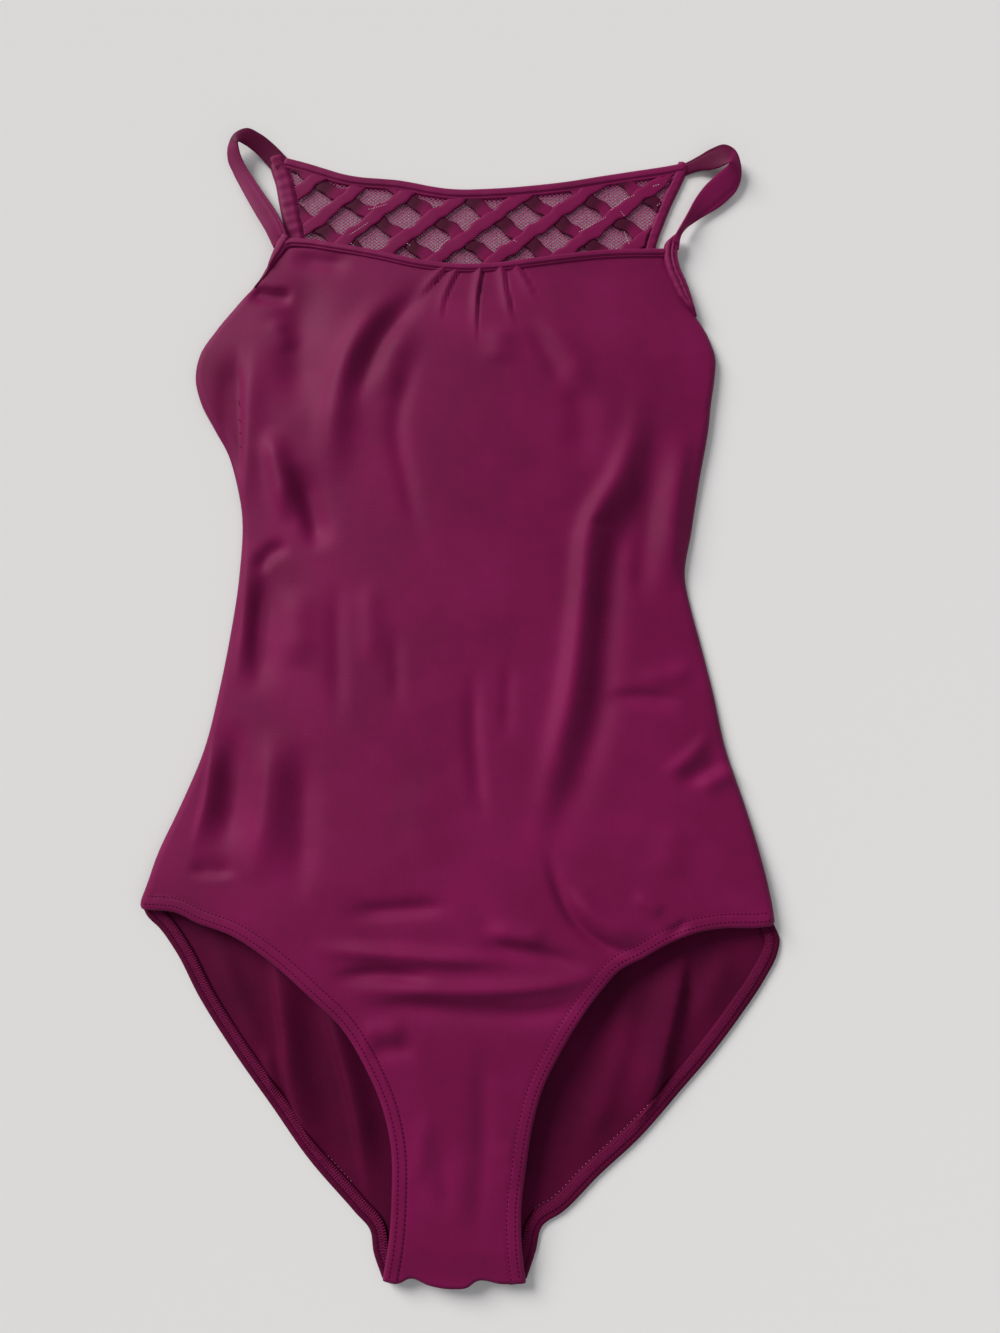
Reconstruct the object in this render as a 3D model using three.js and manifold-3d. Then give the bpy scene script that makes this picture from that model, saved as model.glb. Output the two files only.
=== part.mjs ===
// A camisole gymnastics leotard, laid flat on its back: neck towards +Y, outer front face up (+Z), the
// wearer's left towards +X. Millimetres. The back lies on z = 0 and the front stands over it as a low dome.
// Each cut panel, lining, binding, hem, elastic, seam and strap is a solid of its own.
import * as THREE from "three";
import { mergeVertices } from "three/addons/utils/BufferGeometryUtils.js";
import Module from "manifold-3d";

// ---- Driving dimensions ----

// Levels, measured down the centre line from the back neck edge.
const BACK_LENGTH = 588;
const HIP_DROP = 416;
const WAIST_DROP = 238;
const BUST_DROP = 114;
const FRONT_NECK_DROP = 39;
const YOKE_WAIST_DROP = 66;
const YOKE_CORNER_RISE = 16;
const LINING_DROP = 200;

// Widths of the flat garment at those levels.
const HIP_WIDTH = 326;
const WAIST_WIDTH = 244;
const BUST_WIDTH = 293;
const FRONT_NECK_WIDTH = 234;
const BACK_NECK_WIDTH = 240;
const YOKE_WAIST_WIDTH = 204;
const CROTCH_WIDTH = 68;

// How far each neckline sags below its corners.
const BACK_NECK_SAG = 18;
const FRONT_NECK_SAG = 13;

// Cloth, elastic and trim.
const FABRIC = 0.8;
const LINING = 0.5;
const NET = 0.5;
const TAPE = 0.6;
const ELASTIC = 0.6;
const ELASTIC_WIDTH = 3;
const NECK_ELASTIC_WIDTH = 2;
const BINDING_WIDTH = 8;
const NECK_BINDING_WIDTH = 5.5;
const HEM_WIDTH = 7.5;
const SEAM_WIDTH = 6;
const SEAM_THICKNESS = 1.4;
const GUSSET_LENGTH = 80;
const LATTICE_BAND = 9.5;
const LATTICE_PITCH = 34.5;
const LATTICE_ROW = 25.5;
const STRAP_WIDTH = 10;
const STRAP_THICKNESS = 2.4;
const BARTACK = { length: 6, width: 2, thickness: 0.7 };
const GAP = 0.3;

// How high the front dome stands over its own side edges.
const NECK_CROWN = 6;
const BUST_CROWN = 10;
const WAIST_CROWN = 8;
const HIP_CROWN = 9;
const CROTCH_CROWN = 3;

// ---- Colours ----

const CLOTH_COLOUR = 0x7d2052;
const TRIM_COLOUR = 0x741c4b;
const INSIDE_COLOUR = 0x5e1440;
const NET_COLOUR = 0x6d2f52;
const ELASTIC_COLOUR = 0xe6dfe0;
const THREAD_COLOUR = 0x6a1a46;

// ---- Plan of the garment ----

const SIGN = { right: -1, left: 1 };
const SIDES = Object.keys(SIGN);
const { lerp, smoothstep } = THREE.MathUtils;

const at = (x, drop) => new THREE.Vector2(x, -drop);

// A level of the body: how far down it lies, its width, how far its middle lies to the wearer's left and
// how much lower its left end lies than its right end.
const level = (drop, width, shift = 0, tilt = 0) => ({ drop, width, shift, tilt });

const between = (a, b, along, share) =>
  level(
    lerp(a.drop, b.drop, along),
    lerp(a.width, b.width, share),
    lerp(a.shift, b.shift, along),
    lerp(a.tilt, b.tilt, along),
  );

const endOf = (l, side) =>
  at(l.shift + (SIGN[side] * l.width) / 2, l.drop + (SIGN[side] * l.tilt) / 2);

const yokeTop = level(-YOKE_CORNER_RISE, BACK_NECK_WIDTH, 9, 5);
const yokeWaist = level(YOKE_WAIST_DROP, YOKE_WAIST_WIDTH, 5);
const neck = level(FRONT_NECK_DROP, FRONT_NECK_WIDTH, 7, 3);
const bust = level(BUST_DROP, BUST_WIDTH, -4.5, -4);
const waist = level(WAIST_DROP, WAIST_WIDTH, 0.5);
const hip = level(HIP_DROP, HIP_WIDTH, 0, 9);
const crotch = level(BACK_LENGTH - 1, CROTCH_WIDTH, -1, 1);

// An edge of the cloth as a curve that keeps the cloth on its left hand.
function edge(points, side) {
  return new THREE.SplineCurve(side === "left" ? points.reverse() : points);
}

const frontArmhole = (side) =>
  edge([endOf(neck, side), endOf(between(neck, bust, 0.5, 0.47), side), endOf(bust, side)], side);

const backArmhole = (side) =>
  edge(
    [
      endOf(yokeTop, side),
      endOf(between(yokeTop, yokeWaist, 0.5, 0.62), side),
      endOf(yokeWaist, side),
      endOf(between(yokeWaist, bust, 0.5, 0.12), side),
      endOf(between(yokeWaist, bust, 0.82, 0.5), side),
      endOf(bust, side),
    ],
    side,
  );

const sideEdge = (side) =>
  edge(
    [
      endOf(bust, side),
      endOf(between(bust, waist, 0.41, 0.56), side),
      endOf(between(bust, waist, 0.67, 0.86), side),
      endOf(waist, side),
      endOf(between(waist, hip, 0.27, 0.19), side),
      endOf(between(waist, hip, 0.53, 0.4), side),
      endOf(between(waist, hip, 0.79, 0.77), side),
      endOf(hip, side),
    ],
    side,
  );

// A leg edge runs from the hip corner to the crotch corner. Each point is a share of the way out from the
// crotch and a share of the way down from the hip.
function legEdge(side, shares) {
  const from = endOf(hip, side);
  const to = endOf(crotch, side);
  return edge(
    shares.map(([out, down]) => new THREE.Vector2(lerp(to.x, from.x, out), lerp(from.y, to.y, down))),
    side,
  );
}

const FRONT_LEG = [
  [1, 0], [0.86, 0.02], [0.65, 0.075], [0.38, 0.18], [0.2, 0.31],
  [0.08, 0.45], [0, 0.62], [-0.02, 0.8], [0, 1],
];
const BACK_LEG = [
  [1, 0], [0.94, 0.1], [0.85, 0.22], [0.74, 0.34], [0.6, 0.47],
  [0.44, 0.6], [0.29, 0.715], [0.12, 0.84], [0, 1],
];

const frontLeg = (side) => legEdge(side, FRONT_LEG);
const backLeg = (side) => legEdge(side, BACK_LEG);

// A neckline from the wearer's left to the right, sagging below its two corners. A higher power gathers
// the sag to the middle.
const NECKLINE_SPANS = 12;

function neckline(l, sag, power) {
  const from = endOf(l, "left");
  const to = endOf(l, "right");
  const points = [];
  for (let i = 0; i <= NECKLINE_SPANS; i++) {
    const t = i / NECKLINE_SPANS;
    points.push(from.clone().lerp(to, t).add(at(0, sag * Math.sin(Math.PI * t) ** power)));
  }
  return new THREE.SplineCurve(points);
}

const frontNeck = neckline(neck, FRONT_NECK_SAG, 1.5);
const backNeck = neckline(yokeTop, BACK_NECK_SAG, 1);

const insetPoint = (curve, t, inset) => {
  const point = curve.getPointAt(t);
  const heading = curve.getTangentAt(t);
  return new THREE.Vector2(point.x - heading.y * inset, point.y + heading.x * inset);
};

// Points along one side of a panel, from the top down, whichever way the side's curve runs.
function downEdge(curve, side, from, to, count, inset) {
  const points = [];
  for (let i = 0; i <= count; i++) {
    const t = lerp(from, to, i / count);
    points.push(insetPoint(curve, side === "left" ? 1 - t : t, inset));
  }
  return points;
}

// ---- Heights ----

// A smooth height or width that passes through [drop, value] pairs.
function profile(pairs) {
  return (drop) => {
    const after = pairs.findIndex(([d]) => d > drop);
    if (after === 0) return pairs[0][1];
    if (after < 0) return pairs[pairs.length - 1][1];
    const [d0, v0] = pairs[after - 1];
    const [d1, v1] = pairs[after];
    return lerp(v0, v1, smoothstep(drop, d0, d1));
  };
}

// What is stacked between the floor and the front panel, where bindings, seams or hems lie on each other.
const BINDING_RISE = TAPE + GAP;
const BACK_BINDING_TOP = BINDING_RISE + FABRIC + GAP + TAPE;
const ARM_EDGE_HEIGHT = BACK_BINDING_TOP + GAP + TAPE + GAP + GAP;
const SIDE_EDGE_HEIGHT = FABRIC + GAP + SEAM_THICKNESS + 2 * GAP;
const HEM_STACK = GAP + ELASTIC + GAP + FABRIC;
const HIP_EDGE_HEIGHT = FABRIC + HEM_STACK + GAP + HEM_STACK + GAP;

const BACK_SETTLE = [BUST_DROP + 10, BUST_DROP + 36];
const backHeight = (x, y) => BINDING_RISE * (1 - smoothstep(-y, ...BACK_SETTLE));

const HEM_RISE_SHARE = 0.6;
const CROTCH_SPREAD = 1.4;

const edgeHeight = profile([
  [BUST_DROP, ARM_EDGE_HEIGHT],
  [WAIST_DROP, SIDE_EDGE_HEIGHT],
  [lerp(WAIST_DROP, HIP_DROP, HEM_RISE_SHARE), SIDE_EDGE_HEIGHT],
  [HIP_DROP - 2 * SEAM_WIDTH, HIP_EDGE_HEIGHT],
  [BACK_LENGTH - 3 * SEAM_WIDTH, HIP_EDGE_HEIGHT],
  [BACK_LENGTH, SIDE_EDGE_HEIGHT],
]);

const crown = profile([
  [FRONT_NECK_DROP + FRONT_NECK_SAG, NECK_CROWN],
  [BUST_DROP, BUST_CROWN],
  [WAIST_DROP, WAIST_CROWN],
  [HIP_DROP, HIP_CROWN],
  [BACK_LENGTH, CROTCH_CROWN],
]);

const halfSpan = profile([
  [FRONT_NECK_DROP, (FRONT_NECK_WIDTH + BINDING_WIDTH) / 2],
  [BUST_DROP, BUST_WIDTH / 2],
  [WAIST_DROP, WAIST_WIDTH / 2],
  [HIP_DROP, HIP_WIDTH / 2],
  [BACK_LENGTH, (CROTCH_SPREAD * CROTCH_WIDTH) / 2],
]);

// The underside of the front panel.
function frontHeight(x, y) {
  const out = x / halfSpan(-y);
  return edgeHeight(-y) + crown(-y) * Math.max(0, 1 - out * out);
}

const floorHeight = () => 0;

// ---- Shapes ----

const bar = (from, to, bottom, top) => [[from, bottom], [to, bottom], [to, top], [from, top]];

// A tape folded round an edge: its web stands on the edge and its two flaps reach over the cloth.
const channel = (width, bottom, top, wall) => [
  [0, bottom], [width, bottom], [width, bottom + wall], [wall, bottom + wall],
  [wall, top - wall], [width, top - wall], [width, top], [0, top],
];

// A strip of constant section along an edge, draped over a surface. The section gives [in from the edge,
// up from the surface].
function strip(section, curve, surface, from, to, steps) {
  const shape = new THREE.Shape(section.map(([across, lift]) => new THREE.Vector2(across, lift)));
  const geometry = new THREE.ExtrudeGeometry(shape, { depth: 1, steps, bevelEnabled: false });
  const place = geometry.attributes.position;
  for (let i = 0; i < place.count; i++) {
    const p = insetPoint(curve, lerp(from, to, place.getZ(i)), place.getX(i));
    place.setXYZ(i, p.x, p.y, surface(p.x, p.y) + place.getY(i));
  }
  return geometry;
}

// A sheet of cloth between a right and a left edge, which hold one point for each row. The top row may
// follow a curve of its own, from corner to corner, whose sag fades out over the first rows.
function sheet({ right, left, top, fadeRows = 1, columns, surface, bottom, thickness }) {
  const rows = right.length - 1;
  if (top) {
    right[0] = top(0);
    left[0] = top(1);
  }
  const geometry = new THREE.BoxGeometry(1, 1, 1, columns, rows, 1);
  const place = geometry.attributes.position;
  for (let i = 0; i < place.count; i++) {
    const u = place.getX(i) + 0.5;
    const row = Math.round((0.5 - place.getY(i)) * rows);
    const p = right[row].clone().lerp(left[row], u);
    if (top) {
      const sag = top(u).sub(right[0].clone().lerp(left[0], u));
      p.add(sag.multiplyScalar(1 - smoothstep(row, 0, fadeRows)));
    }
    const lift = bottom + (place.getZ(i) + 0.5) * thickness;
    place.setXYZ(i, p.x, p.y, surface(p.x, p.y) + lift);
  }
  return geometry;
}

// ---- Solids that are cut and joined ----

const wasm = await Module();
wasm.setup();

function solidOf(geometry) {
  const bare = geometry.clone();
  bare.deleteAttribute("normal");
  bare.deleteAttribute("uv");
  const merged = mergeVertices(bare, 1e-4);
  return new wasm.Manifold(
    new wasm.Mesh({
      numProp: 3,
      vertProperties: merged.attributes.position.array,
      triVerts: new Uint32Array(merged.index.array),
    }),
  );
}

function geometryOf(solid) {
  const mesh = solid.getMesh();
  const geometry = new THREE.BufferGeometry();
  geometry.setAttribute("position", new THREE.BufferAttribute(mesh.vertProperties, 3));
  geometry.setIndex(new THREE.BufferAttribute(mesh.triVerts, 1));
  return geometry;
}

// ---- The assembly ----

const leotard = new THREE.Group();

function add(name, geometry, color, roughness = 0.75) {
  const mesh = new THREE.Mesh(geometry, new THREE.MeshStandardMaterial({ color, roughness, metalness: 0 }));
  mesh.name = name;
  leotard.add(mesh);
}

// Where the cloth starts inside a binding, past the web and the elastic, and which shares of an armhole's
// length the cloth and the bindings run along.
const EDGE_INSET = TAPE + GAP + ELASTIC_WIDTH + 2 * GAP;
const NECK_INSET = TAPE + GAP + NECK_ELASTIC_WIDTH + 2 * GAP;
const TOP_SHARE = 0.05;
const UNDERARM_SHARE = 0.93;
const BINDING_END_SHARE = UNDERARM_SHARE - 0.02;

// Front panel: one cut piece from the neckline to the crotch, with its edges inside the bindings.
const PANEL_COLUMNS = 12;
const ARMHOLE_ROWS = 4;
const SIDE_ROWS = 12;
const FRONT_LEG_ROWS = 16;
const NECK_FADE_ROWS = 6;

function frontSide(side) {
  return [
    ...downEdge(frontArmhole(side), side, TOP_SHARE, UNDERARM_SHARE, ARMHOLE_ROWS, EDGE_INSET),
    ...downEdge(sideEdge(side), side, 0, 1, SIDE_ROWS, 0),
    ...downEdge(frontLeg(side), side, 0, 1, FRONT_LEG_ROWS, 0).slice(1),
  ];
}

// A row under a neckline, from the wearer's right to the left, that starts and ends a set way in.
const rowUnder = (curve, ends, inset) => (u) => {
  const share = ends / curve.getLength();
  return insetPoint(curve, lerp(1 - share, share, u), inset);
};

add(
  "front_panel",
  sheet({
    right: frontSide("right"),
    left: frontSide("left"),
    top: rowUnder(frontNeck, EDGE_INSET, NECK_INSET),
    fadeRows: NECK_FADE_ROWS,
    columns: PANEL_COLUMNS,
    surface: frontHeight,
    bottom: 0,
    thickness: FABRIC,
  }),
  CLOTH_COLOUR,
);

// Front lining: behind the bust, held in the neck binding and free at its lower edge.
const LINING_INSET = BINDING_WIDTH + GAP;
const LINING_SIDE_TOP = 0.03;
const LINING_SIDE_ROWS = 5;

function liningSide(side) {
  const share = (LINING_DROP - BUST_DROP) / (HIP_DROP - BUST_DROP);
  return [
    ...downEdge(frontArmhole(side), side, TOP_SHARE, UNDERARM_SHARE, ARMHOLE_ROWS, LINING_INSET),
    ...downEdge(sideEdge(side), side, LINING_SIDE_TOP, share, LINING_SIDE_ROWS, LINING_INSET),
  ];
}

add(
  "front_lining",
  sheet({
    right: liningSide("right"),
    left: liningSide("left"),
    top: rowUnder(frontNeck, LINING_INSET, NECK_INSET),
    fadeRows: NECK_FADE_ROWS,
    columns: PANEL_COLUMNS,
    surface: frontHeight,
    bottom: -GAP - LINING,
    thickness: LINING,
  }),
  INSIDE_COLOUR,
);

// Back panel: from the yoke seam to the crotch. Its outer face lies on the floor below the bust.
const YOKE_SHARE = 0.62;
const BACK_COLUMNS = 4;
const BACK_ARMHOLE_ROWS = 5;
const BACK_LEG_ROWS = 14;

function backSide(side) {
  return [
    ...downEdge(backArmhole(side), side, YOKE_SHARE, UNDERARM_SHARE, BACK_ARMHOLE_ROWS, EDGE_INSET),
    ...downEdge(sideEdge(side), side, 0, 1, SIDE_ROWS, 0),
    ...downEdge(backLeg(side), side, 0, 1, BACK_LEG_ROWS, 0).slice(1),
  ];
}

add(
  "back_panel",
  sheet({
    right: backSide("right"),
    left: backSide("left"),
    columns: BACK_COLUMNS,
    surface: backHeight,
    bottom: 0,
    thickness: FABRIC,
  }),
  CLOTH_COLOUR,
);

// Back yoke: a see-through net from the back neckline to the yoke seam.
const YOKE_TOP_SHARE = 0.04;
const YOKE_BOTTOM_SHARE = YOKE_SHARE - 0.01;
const YOKE_ROWS = 10;
const YOKE_FADE_ROWS = 8;

const yokeSide = (side, inset, topShare) =>
  downEdge(backArmhole(side), side, topShare, YOKE_BOTTOM_SHARE, YOKE_ROWS, inset);

add(
  "yoke_net",
  sheet({
    right: yokeSide("right", EDGE_INSET, YOKE_TOP_SHARE),
    left: yokeSide("left", EDGE_INSET, YOKE_TOP_SHARE),
    top: rowUnder(backNeck, BINDING_WIDTH, EDGE_INSET),
    fadeRows: YOKE_FADE_ROWS,
    columns: PANEL_COLUMNS,
    surface: floorHeight,
    bottom: BINDING_RISE,
    thickness: NET,
  }),
  NET_COLOUR,
  0.9,
);

// Lattice: two sets of parallel bands that cross on the net, cut to the window inside the bindings.
const WINDOW_INSET = BINDING_WIDTH + 3 * GAP;
const WINDOW_TOP_SHARE = 0.1;
const WINDOW_TOP_END = 1.8 * WINDOW_INSET;
const latticeBottom = BINDING_RISE + NET + GAP;
const BAND_LENGTH = 2 * BACK_NECK_WIDTH;

function latticeBand(direction, index) {
  const angle = direction * Math.atan2(LATTICE_ROW, LATTICE_PITCH);
  const spacing = LATTICE_PITCH * Math.sin(Math.abs(angle));
  const half = BAND_LENGTH / 2;
  const shape = new THREE.Shape(
    bar(-half, half, -LATTICE_BAND / 2, LATTICE_BAND / 2).map(([x, y]) => new THREE.Vector2(x, y)),
  );
  const geometry = new THREE.ExtrudeGeometry(shape, { depth: TAPE, bevelEnabled: false });
  geometry.translate(0, (index + 0.5) * spacing, latticeBottom);
  geometry.rotateZ(angle);
  geometry.translate(0, -FRONT_NECK_DROP, 0);
  return geometry;
}

function latticeWindow() {
  const outline = sheet({
    right: yokeSide("right", WINDOW_INSET, WINDOW_TOP_SHARE).slice(0, -1),
    left: yokeSide("left", WINDOW_INSET, WINDOW_TOP_SHARE).slice(0, -1),
    top: rowUnder(backNeck, WINDOW_TOP_END, WINDOW_INSET),
    fadeRows: YOKE_FADE_ROWS,
    columns: PANEL_COLUMNS,
    surface: floorHeight,
    bottom: 0,
    thickness: BINDING_WIDTH,
  });
  return solidOf(outline);
}

function lattice() {
  const reach = Math.ceil(BACK_NECK_WIDTH / LATTICE_PITCH / 2) + 2;
  let bands = null;
  for (const direction of [-1, 1]) {
    for (let index = -reach; index < reach; index++) {
      const band = solidOf(latticeBand(direction, index));
      bands = bands ? bands.add(band) : band;
    }
  }
  const pieces = bands.intersect(latticeWindow()).decompose();
  pieces.sort((a, b) => b.volume() - a.volume());
  return geometryOf(pieces[0]);
}

add("yoke_lattice", lattice(), TRIM_COLOUR);

// Necklines: each is a folded tape round the cloth's edge with a thin elastic inside it. They end clear of
// the armhole bindings, and the back one a little earlier, because the armholes slant in under its ends.
const NECK_END = BINDING_WIDTH + 2;
const BACK_NECK_END = 1.8 * BINDING_WIDTH + 2 * GAP;
const FRONT_NECK_STEPS = 24;
const BACK_NECK_STEPS = 20;
const frontNeckEnd = NECK_END / frontNeck.getLength();
const backNeckEnd = BACK_NECK_END / backNeck.getLength();
const frontNeckBottom = -GAP - LINING - GAP - TAPE;
const frontNeckTop = FABRIC + GAP + TAPE;
const yokeBindingTop = BINDING_RISE + NET + GAP + TAPE;

add(
  "front_neck_binding",
  strip(
    channel(NECK_BINDING_WIDTH, frontNeckBottom, frontNeckTop, TAPE),
    frontNeck, frontHeight, frontNeckEnd, 1 - frontNeckEnd, FRONT_NECK_STEPS,
  ),
  TRIM_COLOUR,
);
add(
  "front_neck_elastic",
  strip(
    bar(TAPE + GAP, TAPE + GAP + NECK_ELASTIC_WIDTH, 0, ELASTIC),
    frontNeck, frontHeight, frontNeckEnd, 1 - frontNeckEnd, FRONT_NECK_STEPS,
  ),
  ELASTIC_COLOUR,
);
add(
  "back_neck_binding",
  strip(
    channel(BINDING_WIDTH, 0, yokeBindingTop, TAPE),
    backNeck, floorHeight, backNeckEnd, 1 - backNeckEnd, BACK_NECK_STEPS,
  ),
  TRIM_COLOUR,
);
add(
  "back_neck_elastic",
  strip(
    bar(TAPE + GAP, TAPE + GAP + ELASTIC_WIDTH, BINDING_RISE, BINDING_RISE + NET),
    backNeck, floorHeight, backNeckEnd, 1 - backNeckEnd, BACK_NECK_STEPS,
  ),
  ELASTIC_COLOUR,
);

// Armholes: a folded tape on the front edge and one on the back edge, each with its elastic. The back one
// also edges the net, up to the corner where the strap is sewn in.
const FRONT_ARMHOLE_STEPS = 12;
const BACK_ARMHOLE_STEPS = 24;

function span(side, from, to) {
  return side === "left" ? [1 - to, 1 - from] : [from, to];
}

const backBindingLift = (x, y) => backHeight(x, y) - BINDING_RISE;

for (const side of SIDES) {
  const reach = span(side, 0, BINDING_END_SHARE);
  add(
    `armhole_binding_front_${side}`,
    strip(
      channel(BINDING_WIDTH, -GAP - TAPE, FABRIC + GAP + TAPE, TAPE),
      frontArmhole(side), frontHeight, ...reach, FRONT_ARMHOLE_STEPS,
    ),
    TRIM_COLOUR,
  );
  add(
    `armhole_elastic_front_${side}`,
    strip(
      bar(TAPE + GAP, TAPE + GAP + ELASTIC_WIDTH, 0, ELASTIC),
      frontArmhole(side), frontHeight, ...reach, FRONT_ARMHOLE_STEPS,
    ),
    ELASTIC_COLOUR,
  );
  add(
    `armhole_binding_back_${side}`,
    strip(
      channel(BINDING_WIDTH, 0, BACK_BINDING_TOP, TAPE),
      backArmhole(side), backBindingLift, ...reach, BACK_ARMHOLE_STEPS,
    ),
    TRIM_COLOUR,
  );
  add(
    `armhole_elastic_back_${side}`,
    strip(
      bar(TAPE + GAP, TAPE + GAP + ELASTIC_WIDTH, BINDING_RISE, BINDING_RISE + ELASTIC),
      backArmhole(side), backBindingLift, ...reach, BACK_ARMHOLE_STEPS,
    ),
    ELASTIC_COLOUR,
  );
}

// Leg openings: each panel's edge is turned in over an elastic, so the hem lies on the panel's inner face.
const LEG_SPAN = [0.02, 0.93];
const LEG_STEPS = 20;
const ELASTIC_IN = 1;
const LEG_ELASTIC_WIDTH = HEM_WIDTH - 2 * ELASTIC_IN;

function legHem(layer, curve, side, surface, hemBottom, elasticBottom) {
  const reach = span(side, ...LEG_SPAN);
  add(
    `leg_hem_${layer}_${side}`,
    strip(bar(0, HEM_WIDTH, hemBottom, hemBottom + FABRIC), curve, surface, ...reach, LEG_STEPS),
    CLOTH_COLOUR,
  );
  add(
    `leg_elastic_${layer}_${side}`,
    strip(
      bar(ELASTIC_IN, ELASTIC_IN + LEG_ELASTIC_WIDTH, elasticBottom, elasticBottom + ELASTIC),
      curve, surface, ...reach, LEG_STEPS,
    ),
    ELASTIC_COLOUR,
  );
}

for (const side of SIDES) {
  legHem("front", frontLeg(side), side, frontHeight, -HEM_STACK, -GAP - ELASTIC);
  legHem("back", backLeg(side), side, floorHeight, FABRIC + GAP + ELASTIC + GAP, FABRIC + GAP);
}

// Seams: overlocked allowances that lie inside, between the front and the back.
const SEAM_INSET = 1;
const SIDE_SEAM_SPAN = [0.01, 0.93];
const CROTCH_SEAM_SPAN = [0.08, 0.92];
const SIDE_SEAM_STEPS = 24;
const STRAIGHT_SEAM_STEPS = 4;
const seamSection = bar(SEAM_INSET, SEAM_WIDTH, FABRIC + GAP, FABRIC + GAP + SEAM_THICKNESS);

for (const side of SIDES) {
  const reach = span(side, ...SIDE_SEAM_SPAN);
  add(
    `side_seam_${side}`,
    strip(seamSection, sideEdge(side), backHeight, ...reach, SIDE_SEAM_STEPS),
    THREAD_COLOUR,
  );
}

const crotchEdge = new THREE.LineCurve(endOf(crotch, "right"), endOf(crotch, "left"));
add(
  "crotch_seam",
  strip(seamSection, crotchEdge, floorHeight, ...CROTCH_SEAM_SPAN, STRAIGHT_SEAM_STEPS),
  THREAD_COLOUR,
);

const yokeEdge = (share) => {
  const ends = ["left", "right"].map((side) => downEdge(backArmhole(side), side, share, share, 1, 0)[0]);
  return new THREE.LineCurve(...ends);
};
const yokeSeamEnd = (BINDING_WIDTH + SEAM_WIDTH) / YOKE_WAIST_WIDTH;
const yokeSeamBottom = BINDING_RISE + FABRIC + GAP;
add(
  "yoke_seam",
  strip(
    bar(-SEAM_WIDTH / 2, SEAM_WIDTH / 2, yokeSeamBottom, yokeSeamBottom + FABRIC),
    yokeEdge(YOKE_SHARE), floorHeight, yokeSeamEnd, 1 - yokeSeamEnd, STRAIGHT_SEAM_STEPS,
  ),
  THREAD_COLOUR,
);

// Gusset lining: a soft strip folded round the crotch fold, inside the hems.
const GUSSET_CLEARANCE = 3;
const gussetHalf = CROTCH_WIDTH / 2 - HEM_WIDTH - GUSSET_CLEARANCE;
const gussetEnd = BACK_LENGTH - SEAM_WIDTH - GUSSET_CLEARANCE;
const gussetBottom = FABRIC + GAP;
const gussetTop = HIP_EDGE_HEIGHT - GAP;

function gussetProfile() {
  const top = gussetEnd - GUSSET_LENGTH;
  const points = [
    [top, gussetBottom], [gussetEnd, gussetBottom], [gussetEnd, gussetTop], [top, gussetTop],
    [top, gussetTop - LINING], [gussetEnd - LINING, gussetTop - LINING],
    [gussetEnd - LINING, gussetBottom + LINING], [top, gussetBottom + LINING],
  ];
  return new THREE.Shape(points.map(([drop, z]) => new THREE.Vector2(-drop, z)));
}

// The profile is drawn along the body and upwards, then turned so that it is carried across the body.
const alongBody = new THREE.Vector3(0, 1, 0);
const upwards = new THREE.Vector3(0, 0, 1);
const acrossBody = new THREE.Vector3(1, 0, 0);
const gusset = new THREE.ExtrudeGeometry(gussetProfile(), { depth: 2 * gussetHalf, bevelEnabled: false });
gusset.applyMatrix4(new THREE.Matrix4().makeBasis(alongBody, upwards, acrossBody));
gusset.translate(crotch.shift - gussetHalf, 0, 0);
add("gusset_lining", gusset, ELASTIC_COLOUR, 0.9);

// Straps: the armhole tape runs on past the front neck corner as a loop and is sewn in at the yoke corner.
// Each lies outwards on the floor, flat at its sewn ends and on edge round its far bend. A point of a loop
// is a share of the way from the front corner to the yoke corner and a distance out from that line.
const STRAP_LOOPS = {
  right: [[0.12, -2.5], [0.49, 7.6], [0.81, 18.4], [1.04, 24], [1.2, 20], [1.17, 12], [1.06, 6]],
  left: [[0.12, 1.5], [0.44, 9.8], [0.69, 20.5], [0.9, 27.5], [1.06, 25.7], [1.1, 17.5], [1.03, 9]],
};
const STRAP_STAND = THREE.MathUtils.degToRad(70);
const STRAP_END_LIFT = ARM_EDGE_HEIGHT + 1;
const STRAP_LANDING = 0.3;
const STRAP_STEPS = 48;
const STRAP_BEND = 1.3;
const STRAP_ELASTIC = { width: 5, thickness: 0.5 };

function strapRoute(side) {
  const front = endOf(neck, side);
  const back = endOf(yokeTop, side);
  const heading = back.clone().sub(front).normalize();
  const outward = new THREE.Vector2(heading.y, -heading.x).multiplyScalar(SIGN[side]);
  return new THREE.SplineCurve(
    STRAP_LOOPS[side].map(([along, out]) => front.clone().lerp(back, along).addScaledVector(outward, out)),
  );
}

// How far the tape is turned on edge: not at all at its ends, and most past the middle of the loop.
const strapRoll = (t) => STRAP_STAND * Math.sin(Math.PI * t ** STRAP_BEND) ** 2;

function strapGeometry(side, section) {
  const shape = section();
  const curve = strapRoute(side);
  const geometry = new THREE.ExtrudeGeometry(shape, { depth: 1, steps: STRAP_STEPS, bevelEnabled: false });
  const place = geometry.attributes.position;
  for (let i = 0; i < place.count; i++) {
    const t = place.getZ(i);
    const roll = -SIGN[side] * strapRoll(t);
    const across = place.getX(i) * Math.cos(roll) - place.getY(i) * Math.sin(roll);
    const up = place.getX(i) * Math.sin(roll) + place.getY(i) * Math.cos(roll);
    const rest = (STRAP_WIDTH * Math.abs(Math.sin(roll)) + STRAP_THICKNESS * Math.cos(roll)) / 2;
    const p = insetPoint(curve, t, across);
    const lift = STRAP_END_LIFT * (1 - smoothstep(t, 0, STRAP_LANDING));
    place.setXYZ(i, p.x, p.y, rest + up + lift);
  }
  return geometry;
}

const rectangle = (width, height) =>
  new THREE.Shape(
    bar(-width / 2, width / 2, -height / 2, height / 2).map(([x, y]) => new THREE.Vector2(x, y)),
  );

function strapTube() {
  const outer = rectangle(STRAP_WIDTH, STRAP_THICKNESS);
  outer.holes.push(rectangle(STRAP_WIDTH - 2 * TAPE, STRAP_THICKNESS - 2 * TAPE));
  return outer;
}

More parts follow.
